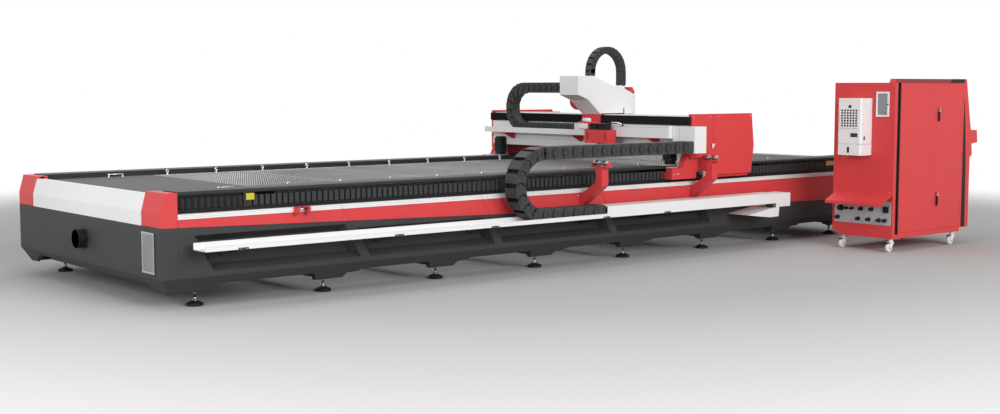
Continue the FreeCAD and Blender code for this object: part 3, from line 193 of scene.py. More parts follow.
# -------- mesh building, in bed millimetres
def bands(rings, sides):
    """Faces between closed rings of corners that follow one another."""
    faces = []
    for a in range(0, (rings - 1) * sides, sides):
        for step in range(sides):
            after = (step + 1) % sides
            faces.append([a + step, a + after, a + sides + after, a + sides + step])
    return faces


def circle(side, other, steps):
    """Directions round a circle, from side towards other."""
    angles = (2 * math.pi * step / steps for step in range(steps))
    return [side * math.cos(angle) + other * math.sin(angle) for angle in angles]


class Shape:
    """Solids as corners and faces in bed millimetres; a mark picks the face's material."""

    def __init__(self):
        self.corners, self.faces, self.smooth, self.marks = [], [], [], []

    def add(self, corners, faces, smooth=False, mark=0):
        start = len(self.corners)
        self.corners += [tuple(corner) for corner in corners]
        self.faces += [[start + index for index in face] for face in faces]
        self.smooth += [smooth] * len(faces)
        self.marks += [mark] * len(faces)

    def box(self, x0, y0, z0, x1, y1, z1, mark=0):
        corners = [(x, y, z) for z in (z0, z1) for y in (y0, y1) for x in (x0, x1)]
        faces = [(0, 2, 3, 1), (4, 5, 7, 6), (0, 1, 5, 4), (2, 6, 7, 3), (0, 4, 6, 2), (1, 3, 7, 5)]
        self.add(corners, faces, mark=mark)

    def prism(self, outline, axis, start, end, mark=0):
        """A flat outline pushed along an axis: (y, z) for X, (x, z) for Y, (x, y) for Z."""
        count = len(outline)
        area = sum(a[0] * b[1] - b[0] * a[1] for a, b in zip(outline, outline[1:] + outline[:1]))
        if (area < 0) != (axis == "Y"):
            outline = outline[::-1]
        corners = []
        for level in (start, end):
            for u, w in outline:
                corners.append({"X": (level, u, w), "Y": (u, level, w), "Z": (u, w, level)}[axis])
        faces = [list(range(count))[::-1], list(range(count, 2 * count))]
        self.add(corners, faces + bands(2, count), mark=mark)

    def lathe(self, base, way, profile, sides=32, mark=0):
        """A turned solid: (distance along the way, radius) points from one end to the other."""
        base, way = Vector(base), Vector(way).normalized()
        side = way.orthogonal().normalized()
        spokes = circle(side, way.cross(side), sides)
        corners = [base + way * along + spoke * radius
                   for along, radius in profile for spoke in spokes]
        self.add(corners, bands(len(profile), sides), smooth=True, mark=mark)
        end = len(self.corners)
        start = end - len(corners)
        self.faces += [list(range(start, start + sides))[::-1], list(range(end - sides, end))]
        self.smooth += [False] * 2
        self.marks += [mark] * 2

    def ring(self, centre, way, major, minor, sides=20, tube=8):
        """A torus round a centre."""
        way = Vector(way).normalized()
        side = way.orthogonal().normalized()
        corners, faces = [], []
        for out in circle(side, way.cross(side), sides):
            for turn in range(tube):
                bend = 2 * math.pi * turn / tube
                corners.append(Vector(centre) + out * (major + minor * math.cos(bend))
                               + way * minor * math.sin(bend))
        for step in range(sides):
            for turn in range(tube):
                a, b = step * tube, ((step + 1) % sides) * tube
                after = (turn + 1) % tube
                faces.append([a + turn, b + turn, b + after, a + after])
        self.add(corners, faces, smooth=True)

    def tube(self, points, radius, sides):
        """A bent pipe through a row of points, closed at both ends."""
        points = [Vector(point) for point in points]
        corners = []
        for point, before, after in zip(points, points[:1] + points, points[1:] + points[-1:]):
            way = (after - before).normalized()
            side = way.cross(Vector((0.31, 0.17, 0.93))).normalized()
            corners += [point + spoke * radius for spoke in circle(side, way.cross(side), sides)]
        faces = bands(len(points), sides)
        faces.append(list(range(sides))[::-1])
        faces.append(list(range(len(corners) - sides, len(corners))))
        self.add(corners, faces, smooth=True)

    def screw(self, x, y, z, way, radius=5, rise=3, mark=0):
        """A round screw head with a socket."""
        profile = [(0, radius), (rise * 0.6, radius), (rise, radius * 0.75), (rise, radius * 0.45),
                   (rise * 0.4, radius * 0.4)]
        self.lathe((x, y, z), way, profile, 14, mark)

    def screws(self, xs, ys, zs, *look):
        """Screw heads at each mix of the x, y and z places."""
        for x in xs:
            for y in ys:
                for z in zs:
                    self.screw(x, y, z, *look)

    def far(self):
        """Adds the mirror image across the bed's middle plane."""
        count = len(self.corners)
        self.corners += [(x, BED_WIDTH - y, z) for x, y, z in self.corners]
        self.faces += [[index + count for index in reversed(face)] for face in self.faces]
        self.smooth += self.smooth
        self.marks += self.marks


def piece(shape, name, body, slot, *replaced, finish=None, extra=()):
    """Makes the shape one named piece, with its materials, body and replaced nodes; the slot picks
    its finish unless one is given.
    """
    mesh = bpy.data.meshes.new(name)
    mesh.from_pydata([at(*corner) for corner in shape.corners], [], shape.faces)
    mesh.polygons.foreach_set("use_smooth", shape.smooth)
    mesh.polygons.foreach_set("material_index", shape.marks)
    mesh.validate()
    for coat in (finish or finishes[slot], *extra):
        mesh.materials.append(coat)
    made = bpy.data.objects.new(name, mesh)
    scene.collection.objects.link(made)
    if body:
        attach(made, body)
    if replaced:
        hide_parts(*replaced)
    return made


# -------- drag chains
PIN_WALL, PIN_STEPS = 4.5, 28
CABLE_SIZES = (9, 6.3, 10.8, 7.2, 9)


def chain_link(shape, origin, along, up, across, pitch, height, wide, boss):
    """One link: side plates with ringed pivots and a round end, and bars at top and bottom."""
    origin, along, up, across = Vector(origin), Vector(along), Vector(up), Vector(across)

    def solid(outline, near, far):
        count = len(outline)
        corners = [origin + along * u + up * v + across * level
                   for level in (near, far) for u, v in outline]
        faces = [list(range(count)), list(range(count, 2 * count))[::-1]]
        shape.add(corners, faces + [[a, d, c, b] for a, b, c, d in bands(2, count)])

    def ring(radius, near, far):
        """A raised round rim on a side plate."""
        corners, faces = [], []
        for level in (near, far):
            for reach in (radius, radius - PIN_WALL):
                for step in range(PIN_STEPS):
                    a = 2 * math.pi * step / PIN_STEPS
                    u, v = pitch + reach * math.cos(a), reach * math.sin(a)
                    corners.append(origin + along * u + up * v + across * level)
        for step in range(PIN_STEPS):
            after = (step + 1) % PIN_STEPS
            for a, b in ((0, 1), (2, 0), (3, 2), (1, 3)):
                a, b = a * PIN_STEPS, b * PIN_STEPS
                faces.append([a + step, a + after, b + after, b + step])
        shape.add(corners, faces)

    half = height / 2
    end = half * 0.93
    arc = [math.radians(90 - 180 * step / 14) for step in range(15)]
    outer = [(pitch * 0.06, -end), (pitch * 0.06, end)]
    outer += [(pitch + end * 0.5 * math.cos(a), end * math.sin(a)) for a in arc]
    inner = [(-pitch * 0.14, -end * 0.8), (-pitch * 0.2, 0), (-pitch * 0.14, end * 0.8)]
    inner += [(pitch * 0.3, half * 0.97), (pitch * 0.86, half * 0.97), (pitch * 0.86, -half * 0.97),
              (pitch * 0.3, -half * 0.97)]
    disc = [(pitch + boss * 0.5 * math.cos(a), boss * 0.5 * math.sin(a))
            for a in (math.radians(18 * step) for step in range(20))]
    for edge, flip in ((0, 1), (wide, -1)):
        solid(outer, *sorted((edge + flip * 4, edge + flip * 7)))
        solid(inner, *sorted((edge + flip * 7.5, edge + flip * 12)))
        level = sorted((edge + flip * 1, edge + flip * 4))
        ring(boss * 1.18, *level)
        ring(boss * 0.86, *level)
        solid(disc, *sorted((edge, edge + flip * 4)))
    lid, rib = (0.1, 0.92, 0.86, 1, 5), (0.42, 0.6, 0.8, 0.9, 12)
    for sign in (-1, 1):
        for start, end, inside, outside, inset in (lid, rib):
            bar = [(pitch * start, sign * half * inside), (pitch * start, sign * half * outside),
                   (pitch * end, sign * half * outside), (pitch * end, sign * half * inside)]
            solid(bar if sign > 0 else bar[::-1], inset, wide - inset)


def chain_cables(shape, points, across, wide):
    """Cables that lie side by side inside a chain."""
    points, across = [Vector(point) for point in points], Vector(across)
    for lane, size in enumerate(CABLE_SIZES):
        offset = across * (wide * (0.16 + 0.68 * lane / 4))
        corners = []
        for point, before, after in zip(points, points[:1] + points, points[1:] + points[-1:]):
            way = (after - before).normalized()
            spokes = circle(way.cross(across).normalized(), across, 6)
            corners += [point + offset + spoke * size for spoke in spokes]
        shape.add(corners, bands(len(points), 6), smooth=True)


def run(start, end, up, links, across, height, wide, boss):
    """A straight run of links from one point to another, the last one a little shorter."""
    shape = Shape()
    start, end = Vector(start), Vector(end)
    step = (end - start) / links
    along = step.normalized()
    for index in range(links):
        reach = 0.93 if index == links - 1 else 1
        chain_link(shape, start + step * index, along * reach, up, across, step.length,
                   height, wide, boss)
    chain_cables(shape, [start + along * 4, start.lerp(end, 0.5), end - along * 4], across, wide)
    return shape


def turn(centre, radius, begin, sweep, first, links, across, height, wide, boss):
    """Links round a half circle, whose angle is counted from the direction first towards up."""
    shape = Shape()
    centre, first, second = Vector(centre), Vector(first), Vector(UP)

    def spot(angle):
        return centre + (first * math.cos(angle) + second * math.sin(angle)) * radius

    points = [spot(begin + sweep * step / links) for step in range(links + 1)]
    for start, end in zip(points, points[1:]):
        chord = end - start
        up = ((start + end) / 2 - centre).normalized()
        chain_link(shape, start, chord.normalized(), up, across, chord.length, height, wide, boss)
    chain_cables(shape, [spot(begin + sweep * step / 24) for step in range(25)], across, wide)
    return shape


LONG = {"across": Y_WAY, "height": 124, "wide": 180, "boss": 44}
edge, lower, upper = -287, 564.5, 1164.5
chain = run((4648, edge, lower), (3829, edge, lower), UP, 6, **LONG)
made = piece(chain, "LongChainLowerRun", None, "chain_plastic", "long_chain_lower")
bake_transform(made)
chain = turn((3828, edge, (lower + upper) / 2), 300, 3 * math.pi / 2, -math.pi, X_WAY, 8, **LONG)
piece(chain, "LongChainTurn", "long_chain_turn", "chain_plastic", "long_chain_bend")
chain = run((5941, edge, upper), (3829, edge, upper), UP, 16, **LONG)
made = piece(chain, "LongChainUpperRun", None, "chain_plastic", "long_chain_upper")
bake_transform(made)

CROSS = {"across": X_WAY, "height": 122, "wide": 126, "boss": 42}
edge, lower, upper = 5890, 1315.5, 1791.5
chain = run((edge, 1512, lower), (edge, 2455, lower), DOWN, 9, **CROSS)
made = piece(chain, "CrossChainLowerRun", None, "chain_plastic", "cross_chain_lower")
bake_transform(made)
chain = turn((edge, 2456, (lower + upper) / 2), 238, -math.pi / 2, math.pi, Y_WAY, 7, **CROSS)
piece(chain, "CrossChainTurn", "cross_chain_turn", "chain_plastic", "cross_chain_bend")
chain = run((edge, 2455, upper), (edge, 1531, upper), UP, 9, **CROSS)
made = piece(chain, "CrossChainUpperRun", None, "chain_plastic", "cross_chain_upper")
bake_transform(made)

# The arch on the carriage: a half circle of links on two straight legs with a solid core.
ARCH = {"across": Y_WAY, "height": 76, "wide": 98, "boss": 26}
edge, middle, spring, radius = 1236, 6163, 1978, 246
chain = turn((middle, edge, spring), radius, 0, math.pi, X_WAY, 11, **ARCH)
for foot, x, out, links in ((1927, middle - radius, LEFT, 1), (1819, middle + radius, X_WAY, 3)):
    step = (spring - foot) / links
    for index in range(links):
        chain_link(chain, (x, edge, foot + step * index), UP, out, pitch=step, **ARCH)
    chain.box(x - 30, edge + 12, foot + 2, x + 30, edge + 86, spring - 2)
piece(chain, "ArchChain", "carriage", "chain_plastic", "arch_chain")


# -------- pleated bellows
FOLD = ((0.0, 1.0), (0.10, 0.12), (0.18, 0.0), (0.72, 0.0), (0.80, 0.12), (0.90, 1.0))
CLOTH, HEM, HEM_INSET = 2.5, 4, 3


def pleats(start, end, pitch, front, depth, z0, z1, along_y=False):
    """A pleated curtain of box-shaped folds with a thin back, and a hem at the top and bottom."""
    shape = Shape()
    count = round((end - start) / pitch)
    step = (end - start) / count
    points = []
    for fold in range(count):
        u = start + step * fold
        points += [(u + step * share, front + depth * inset) for share, inset in FOLD]
    points.append((end, front + depth))
    outline = points + [(u, w + CLOTH) for u, w in reversed(points)]
    levels = [(z0, 1.0), (z0 + HEM, 0.0), (z1 - HEM, 0.0), (z1, 1.0)]
    corners, faces = [], []
    for z, inset in levels:
        for u, w in outline:
            w = min(w + inset * HEM_INSET, front + depth + CLOTH)
            corners.append((w, u, z) if along_y else (u, w, z))
    size = len(outline)
    for a in range(0, (len(levels) - 1) * size, size):
        for index in range(size):
            after = (index + 1) % size
            faces.append([a + index, a + size + index, a + size + after, a + after])
    for cap in (0, (len(levels) - 1) * size):
        for index in range(len(points) - 1):
            faces.append([cap + index, cap + index + 1,
                          cap + size - 2 - index, cap + size - 1 - index])
    if along_y:
        faces = [face[::-1] for face in faces]
    shape.add(corners, faces)
    return shape


for name, start, end, way, fixed, moving in (
        ("BellowsLeft", 780, 5803.7, "bellows_left", 780, 5804),
        ("BellowsRight", 7036.3, 9144, "bellows_right", 9144, 7036)):
    curtain = pleats(start, end, 57, 8, 24, 815, 905)
    curtain.far()
    made = piece(curtain, name, None, "bellows_cloth", way)
    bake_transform(made)
for name, start, end, way, fixed, moving in (
        ("BeamBellowsNear", -142, 1224.7, "beam_bellows_near", -142, 1225),
        ("BeamBellowsFar", 1528.3, 3213, "beam_bellows_far", 3213, 1528)):
    curtain = pleats(start, end, 24, 6025, 14, 1389, 1481, True)
    made = piece(curtain, name, None, "bellows_cloth", way, finish=black_cloth)
    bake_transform(made)

# -------- slat table
FRAME_NEAR, FRAME_FAR, FRAME_WIDE = 332, 2739, 40
FRAME_LOW, FRAME_THICK = 855, 8
SLATS, TEETH, SLAT_HALF = 20, 54, 2
slat_near, slat_far = FRAME_NEAR + FRAME_WIDE, FRAME_FAR - FRAME_WIDE
tooth = (slat_far - slat_near) / TEETH
outline = [(slat_near, 856), (slat_far, 856)]
for index in range(TEETH):
    y = slat_far - tooth * index
    outline += [(y, 897), (y - tooth * 0.42, 917), (y - tooth * 0.58, 917)]
outline.append((slat_near, 897))
slats, frames, eyes = Shape(), Shape(), Shape()
for bay in range(BAYS):
    start = BAY_START + BAY_PITCH * bay
    end = start + BAY_PITCH - FRAME_THICK
    for x0, x1 in ((start + 0.3, start + FRAME_THICK), (end, start + BAY_PITCH - 0.3)):
        frames.box(x0, FRAME_NEAR, FRAME_LOW, x1, FRAME_FAR, TABLE_TOP)
    for y0, y1 in ((FRAME_NEAR, slat_near), (slat_far, FRAME_FAR)):
        frames.box(start + FRAME_THICK, y0, FRAME_LOW, end, y1, TABLE_TOP)
    pitch = (end - start - FRAME_THICK) / SLATS
    for step in range(SLATS):
        middle = start + FRAME_THICK + pitch * (step + 0.5)
        slats.prism(outline, "X", middle - SLAT_HALF, middle + SLAT_HALF)
for step in range(13):
    x = 1383 + 548 * step
    for y in (FRAME_NEAR + 20, FRAME_FAR - 20):
        eyes.lathe((x, y, TABLE_TOP - 1), UP, [(0, 14), (4, 14), (5, 10), (9, 8), (26, 7)], 16)
        eyes.ring((x, y, 953), Y_WAY, 12, 5.5)
piece(slats, "ToothedSlats", "root", "slat_steel", "slats")
piece(frames, "SlatFrames", "root", "slat_steel", "slat_frames")
piece(eyes, "LiftingEyes", "root", "bright_plating")

# -------- levelling feet
FOOT_PAD = [(0, 66), (3, 71.5), (17, 71.5), (22, 69), (30, 54), (36, 36), (42, 26), (44, 14)]
feet = Shape()
for x in [FOOT_X + 1245 * bay for bay in range(7)] + [BED_LENGTH - FOOT_X]:
    for y in (FOOT_Y, BED_WIDTH - FOOT_Y):
        feet.lathe((x, y, 0), UP, FOOT_PAD, 36, 1)
        feet.lathe((x, y, 42), UP, [(0, 20), (6, 20), (8, 12), (76, 12)], 20)
        feet.lathe((x, y, 100), UP, [(0, 19), (2, 22), (16, 22), (18, 19)], 6)
        feet.lathe((x, y, 56), UP, [(0, 17), (2, 19), (10, 19), (12, 17)], 6)
piece(feet, "LevellingFeet", "root", "bright_plating", "levelling_feet", extra=(black,))

# -------- bed fittings
CORNER = 146
STRIP_FACE, BAND_FACE, SKIN_FACE = -8, -3, 0
BAND_LEFT, BAND_RIGHT = 675, 426
STRIP_TOP, LEAN, JOINT_HALF = 778, 0.58, 1.4


def band_foot(x):
    """Height of the red band's lower edge, which falls from the left end to the right."""
    return BAND_LEFT + (BAND_RIGHT - BAND_LEFT) * x / BED_LENGTH


def leaning(x, z):
    """X of a slanted joint at a height, from its X at the top of the white strip."""
    return x + (STRIP_TOP - z) * LEAN


# Slanted joints that cross the strip, the band and the skin, and upright ones at the corner panels.
joints = Shape()
for number in range(4):
    x = 1692 + 1571 * number
    foot = band_foot(leaning(x, 560))
    for front, z0, z1 in ((STRIP_FACE, 738, STRIP_TOP), (BAND_FACE, foot, 736),
                          (SKIN_FACE, 256, foot - 2)):
        outline = [(leaning(x, z) + side * JOINT_HALF, z)
                   for z, side in ((z1, -1), (z1, 1), (z0, 1), (z0, -1))]
        joints.prism(outline, "Y", front - 0.5, front)
for x in (CORNER, BED_LENGTH - CORNER):
    foot = band_foot(x)
    joints.box(x - 1, SKIN_FACE - 0.6, 258, x + 1, SKIN_FACE, foot - 2)
    joints.box(x - 1, BAND_FACE - 0.6, foot, x + 1, BAND_FACE, 735)
joints.far()
piece(joints, "PanelJoints", "root", "dark_band", finish=dark_joint_and_shade)

# Screws in the band beside the posts.
bolts = Shape()
bolts.screws((4531, 4669, 6174, 6304), (BAND_FACE,), (702,), NEAR, 8, 5)
bolts.far()
piece(bolts, "BandScrews", "root", "bright_plating")

# Red cable hanger on the band near the duct end: two cheeks, a lid and a rod.
hanger = Shape()
for x in (1216, 1324):
    hanger.prism([(-8, 742), (-8, 783), (-72, 783), (-72, 756), (-42, 712)], "X", x, x + 24)
hanger.box(1240, -72, 777, 1324, -9, 783)
hanger.lathe((1234, -40, 764), X_WAY, [(0, 9), (100, 9)], 20, 1)
hanger.screws((1252, 1310), (-40,), (783,), UP, 6, 3, 1)
piece(hanger, "CableHanger", "root", "red_coat", extra=(plating,))

# Plain yellow plates by the stop post and the far end of the bellows, on dark stems.
plates = Shape()
for x0, x1, z0, z1 in ((766, 842, 866, 921), (8606, 8762, 858, 913)):
    plates.box(x0, -1, z0, x1, 2, z1)
    plates.box(x0 + 6, 2, 812, x0 + 26, 5, z1 - 6, 1)
piece(plates, "YellowPlates", "root", "dark_band", finish=yellow, extra=(finishes["dark_band"],))

# Inlet plate at the near corner of the duct end: a near-black back that paints the shade behind the
# lattice, a lattice, and a frame with screws.
vent = Shape()
y0, y1, z0, z1 = 122, 345, 292, 629
# Painted shade: the near-black back stands for the shade behind the lattice.
vent.box(-7, y0, z0, -6.1, y1, z1, 1)
for column in range(12):
    y = 136 + 17.2 * column
    vent.box(-8.6, y - 3.2, z0 + 14, -7, y + 3.2, z1 - 14)
for row in range(23):
    z = 312 + 13.6 * row
    vent.box(-8.4, y0 + 10, z - 1.6, -7, y1 - 10, z + 1.6)
for start, end, foot, top in ((y0, y1, z0, z0 + 14), (y0, y1, z1 - 14, z1),
                              (y0, y0 + 12, z0 + 14, z1 - 14), (y1 - 12, y1, z0 + 14, z1 - 14)):
    vent.box(-9, start, foot, -7, end, top)
vent.screws((-9,), (y0 + 8, y1 - 8), (z0 + 8, z1 - 8), LEFT, 6, 3, 2)
piece(vent, "InletPlate", "root", "grey_coat", extra=(dark_joint_and_shade, plating))

# Extraction spigot: outer and inner wall, bead, flange and the flange's screws.
SPIGOT_Y, SPIGOT_Z, SPIGOT_CIRCLE = 1535.5, 468, 91
spigot = Shape()
for x, profile in ((-80, [(0, 82), (1, 84), (170, 84)]), (-80, [(1, 80), (0, 82)]),
                   (-72, [(0, 85.5), (2, 86.5), (7, 86.5), (9, 85.5)]),
                   (-6, [(0, 97.5), (6, 97.5)])):
    spigot.lathe((x, SPIGOT_Y, SPIGOT_Z), X_WAY, profile, 64)
for step in range(8):
    angle = math.radians(22.5 + 45 * step)
    spigot.screw(-6, SPIGOT_Y + SPIGOT_CIRCLE * math.cos(angle),
                 SPIGOT_Z + SPIGOT_CIRCLE * math.sin(angle), LEFT, 4, 2.5, 1)
piece(spigot, "SpigotTrim", "root", "motor_coat", extra=(plating,))

# Plates round the slats, with their joints, bar handles and screws.
covers = Shape()
bays_end = BAY_START + BAY_PITCH * BAYS
covers.box(110, 360, PLATE_LOW, BAY_START - 0.5, BED_WIDTH - 360, TABLE_TOP)
covers.box(bays_end + 0.5, 360, PLATE_LOW, BED_LENGTH - 110, BED_WIDTH - 360, TABLE_TOP)
for y0, y1 in ((250, FRAME_NEAR - 0.5), (FRAME_FAR + 0.5, BED_WIDTH - 250)):
    for bay in range(BAYS):
        x = BAY_START + BAY_PITCH * bay
        covers.box(x + 0.5, y0, PLATE_LOW, x + BAY_PITCH - 1, y1, TABLE_TOP)
for y0, y1 in ((250, 359), (BED_WIDTH - 359, BED_WIDTH - 250)):
    covers.box(CORNER, y0, PLATE_LOW, BAY_START - 0.5, y1, TABLE_TOP)
    covers.box(bays_end + 0.5, y0, PLATE_LOW, BED_LENGTH - CORNER, y1, TABLE_TOP)
for y in (420, BED_WIDTH - 420):
    covers.lathe((721, y, TABLE_TOP + 30), X_WAY, [(0, 6), (160, 6)], 16, 1)
    for x in (729, 873):
        covers.lathe((x, y, TABLE_TOP), UP, [(0, 12), (3, 12), (5, 7), (30, 6)], 16, 1)
for x in (180, 660, 1140):
    for y in (385, BED_WIDTH - 385):
        covers.screw(x, y, TABLE_TOP, UP, 7, 2.5, 1)
        covers.screw(BED_LENGTH - x, y, TABLE_TOP, UP, 7, 2.5, 1)
piece(covers, "TablePlates", "root", "frame_coat", "cover_plates", extra=(plating,))

# Hem and bolts of the chain tray, and the bracket above the chute.
hems = Shape()
hems.box(227, -310.6, 534, 4652, -299, 538.5)
for x in (563, 2102, 3197, 4642, 5519):
    hems.screws((x - 28, x + 28), (-314.2,), (503,), NEAR, 4.5, 3, 1)
piece(hems, "TrayHems", "root", "white_coat", extra=(plating,))
clamp = Shape()
clamp.box(7236, -308, 452, 7289, -210, 497)
clamp.screw(7262, -308, 474, NEAR, 7, 4, 1)
piece(clamp, "ChuteBracket", "root", "dark_panel", extra=(plating,))

# -------- support rollers
ROLLER_Z, DRUM_RADIUS = 1045, 24.8
for side, x in (("left", 4600), ("right", 6235)):
    drum = Shape()
    for start, end in ((-367.5, -288), (-248, -168.5)):
        length = end - start
        profile = [(0, 12), (0.5, 21), (4, DRUM_RADIUS), (length - 4, DRUM_RADIUS),
                   (length - 0.5, 21), (length, 12)]
        drum.lathe((x, start, ROLLER_Z), Y_WAY, profile)
    drum.lathe((x, -288, ROLLER_Z), Y_WAY, [(0, 13), (40, 13)], 20)
    drum.lathe((x, -274, ROLLER_Z), Y_WAY, [(0, 15), (2, 18), (10, 18), (12, 15)], 20)
    drum.lathe((x, -375.9, ROLLER_Z), Y_WAY, [(0, 6), (1.5, 7.8), (214.3, 7.8), (215.8, 6)], 16)
    piece(drum, "SupportRoller" + side.title(), "roller_" + side, "ground_steel",
          "support_roller_" + side)

# -------- gantry
# Drive motors: flange, ribbed body, cap, shaft end and gearbox.
motors = Shape()
motors.box(5932, 42, 1006, 6035, 168, 1018)
motors.box(5939, 49, 1018, 6034, 161, 1150)
for step in range(8):
    z = 1028 + 14 * step
    motors.box(5935, 46, z, 6034, 164, z + 6)
motors.box(5932, 42, 1150, 6035, 168, 1163)
motors.box(5945, 55, 1163, 6029, 155, 1188)
motors.lathe((5988, 105, 1186), UP, [(0, 26), (2, 26), (4, 22)], 24)
motors.box(5953, 62, 967, 6035, 148, 1006)
motors.screws((5942, 6024), (52, 158), (1018,), UP, 5, 6, 1)
motors.far()
piece(motors, "DriveMotors", "gantry", "motor_coat", "drive_motors", extra=(plating,))

# The plates that the motors stand on, with their bent near edge.
base = Shape()
base.prism([(5692, 196), (5806, -16), (6030, -16), (6030, 205), (5806, 205)], "Z", 961.5, 966)
lip = [(5806, 901), (5806, 947), (5974, 947), (6020, 1047), (6052, 1092), (6200, 1092), (6200, 901)]
base.prism(lip, "Y", -19.5, -13)
for x, y in ((5725, 160), (5812, 0), (5880, 2), (5940, 12), (6018, 12), (5812, 190), (5900, 190),
             (6018, 190)):
    base.screw(x, y, 966, UP, 6, 5, 1)
base.far()
piece(base, "MotorPlates", "gantry", "grey_coat", extra=(plating,))

# Limit sensor and its bracket on the near saddle, and the latch of the end cover.
COVER_FACE, BOX_FACE, DUCT_FACE = -150, -290, 5883
sensor = Shape()
sensor.box(6186, -130, 818, 6250, -100, 884)
for step in range(5):
    sensor.box(6190, -133, 826 + 12 * step, 6246, -130, 832 + 12 * step)
sensor.box(6254, -140, 822, 6322, -100, 888, 1)
sensor.screw(6218, -133, 874, NEAR, 5, 3, 2)
piece(sensor, "LimitSensor", "gantry", "motor_coat", extra=(white, plating))
latch = Shape()
latch.box(6374, -157, 1150, 6400, COVER_FACE - 0.2, 1182)
latch.prism([(6369, 1186), (6411, 1186), (6411, 1173), (6386, 1136), (6373, 1136)], "Y", -163, -157)
piece(latch, "CoverLatch", "gantry", "white_coat")

# Joints of the chain bracket, the cable duct and the end cover, and the screws along them.
lines = Shape()
lines.box(5942.5, -71, 1098, 5943, -69, 1379)
lines.box(5942.6, 23.5, 1258, 5943.2, 25, 1379)
lines.box(5882.5, 760, 1249, DUCT_FACE, 762, 1379)
lines.box(6397, COVER_FACE - 0.4, 1151, 6399, -149.8, 1508)
lines.box(5882.6, 40, 1360, DUCT_FACE, 1500, 1361.5)
piece(lines, "DuctJoints", "gantry", "dark_band", finish=dark_joint_and_shade)
bolts = Shape()
bolts.screws((DUCT_FACE,), (60, 300, 540, 700, 820, 1060, 1300, 1460), (1368,), LEFT, 4, 2.5)
for x, z in ((5960, 1115), (6040, 1115), (5960, 1362), (6110, 1362)):
    bolts.screw(x, BOX_FACE, z, NEAR)
for x, z in ((6080, 1480), (6340, 1480), (6470, 1480), (7010, 1480), (6360, 880), (7010, 880)):
    bolts.screw(x, COVER_FACE, z, NEAR, 5, 2.5)
bolts.screws((5840, 5900, 6960, 7000), (-100,), (870,), NEAR, 7, 4)
piece(bolts, "GantryScrews", "gantry", "bright_plating")

# Tray of the cross chain, and the red tabs that carry it and the duct.
TRAY_START, TRAY_END, TRAY_LOW, TRAY_TOP, SHEET = 1510.5, 3150, 1248, 1311, 5
tray = Shape()
tray.box(DUCT_FACE, TRAY_START, TRAY_LOW, 6023, TRAY_END, TRAY_LOW + SHEET)
for x in (DUCT_FACE, 6023 - SHEET):
    tray.box(x, TRAY_START, TRAY_LOW + SHEET, x + SHEET, TRAY_END, TRAY_TOP)
tray.box(6023, 2700, TRAY_LOW, 6035, 2860, 1298)
piece(tray, "CrossTray", "gantry", "white_coat", "cross_tray")
tabs = Shape()
gusset = [(5883, 1247.5), (6035, 1247.5), (6035, 1168), (6015, 1168), (5883, 1236)]
for y in (334, 1554, 2778):
    tabs.box(5878, y - 40, 1237.5, 5925, y + 40, 1247.8)
    tabs.prism(gusset, "Y", y - 4, y + 4)
    tabs.box(6026, y - 30, 1168, 6035, y + 30, 1247.5)
piece(tabs, "TrayTabs", "gantry", "red_coat")

# -------- carriage and head
# Two ribbed motors side by side above the head.
servos = Shape()
for start in (850, 995):
    servos.box(5747, start + 2, 1322, 5838, start + 133, 1332)
    servos.box(5753, start + 8, 1332, 5834, start + 127, 1380)
    for step in range(6):
        servos.box(5750, start + 14 + 19 * step, 1335, 5836, start + 22 + 19 * step, 1377)
    servos.box(5747, start + 2, 1380, 5838, start + 133, 1392)
    servos.screws((5754, 5831), (start + 9, start + 126), (1391,), UP, 4, 2.5, 1)
piece(servos, "CarriageServos", "carriage", "motor_coat", "carriage_motors", extra=(plating,))

# Head housing: lid, back, cheeks, a front with two slots filled with painted shade, and the block
# on top.
housing = Shape()
front, near, far, foot, top = 5757, 820, 1193, 1171, 1322
slot_low, slot_top = 1208, 1283
housing.box(front, near, top - 10, 5866, far, top)
housing.box(5866, near, foot, 5878, far, top)
for y0, y1 in ((near, 940), (1070, far)):
    housing.box(front, y0, foot, 5866, y1, top - 10)
for z0, z1 in ((slot_top, top), (foot, slot_low)):
    housing.box(front - 12, near, z0, front, far, z1)
for y0, y1 in ((near, 855), (875, 1135), (1155, far)):
    housing.box(front - 12, y0, slot_low, front, y1, slot_top)
# Painted shade: near-black fills in the two slots.
for y0, y1 in ((855, 875), (1135, 1155)):
    housing.box(front - 7, y0, slot_low, front - 0.5, y1, slot_top, 1)
housing.box(5765, 1132, top, 5878, 1300, 1384)
piece(housing, "HeadHousing", "carriage", "red_coat", "head_housing", extra=(dark_joint_and_shade,))

# Supply drum and junction box beside the motors, and a plated pipe that bends down.
supply = Shape()
supply.lathe((5775, 1136, 1428), Y_WAY, [(0, 18), (2, 22), (108, 22), (110, 18)], 28)
supply.box(5768, 1228, 1410, 5784, 1240, 1428)
supply.box(5733, 1155, 1330, 5764.5, 1290, 1390)
for x, y, z in ((5733, 1170, 1345), (5733, 1275, 1345), (5745, 1238, 1400), (5745, 1288, 1400)):
    supply.screw(x, y, z, LEFT, 4, 2.5, 1)
piece(supply, "HeadSupply", "carriage", "white_coat", extra=(plating,))
pipe = Shape()
pipe.tube([(5822, 862, 1399), (5822, 820, 1404), (5822, 770, 1405), (5830, 736, 1401),
           (5846, 716, 1392), (5860, 706, 1378)], 8, 12)
pipe.lathe((5856, 709, 1382), (14, -8, -14), [(0, 11), (16, 11), (18, 8)], 16, 1)
pipe.lathe((5822, 850, 1394), UP, [(0, 12), (10, 12), (14, 9)], 16, 1)
piece(pipe, "HeadPipe", "carriage", "bright_plating", extra=(black,))

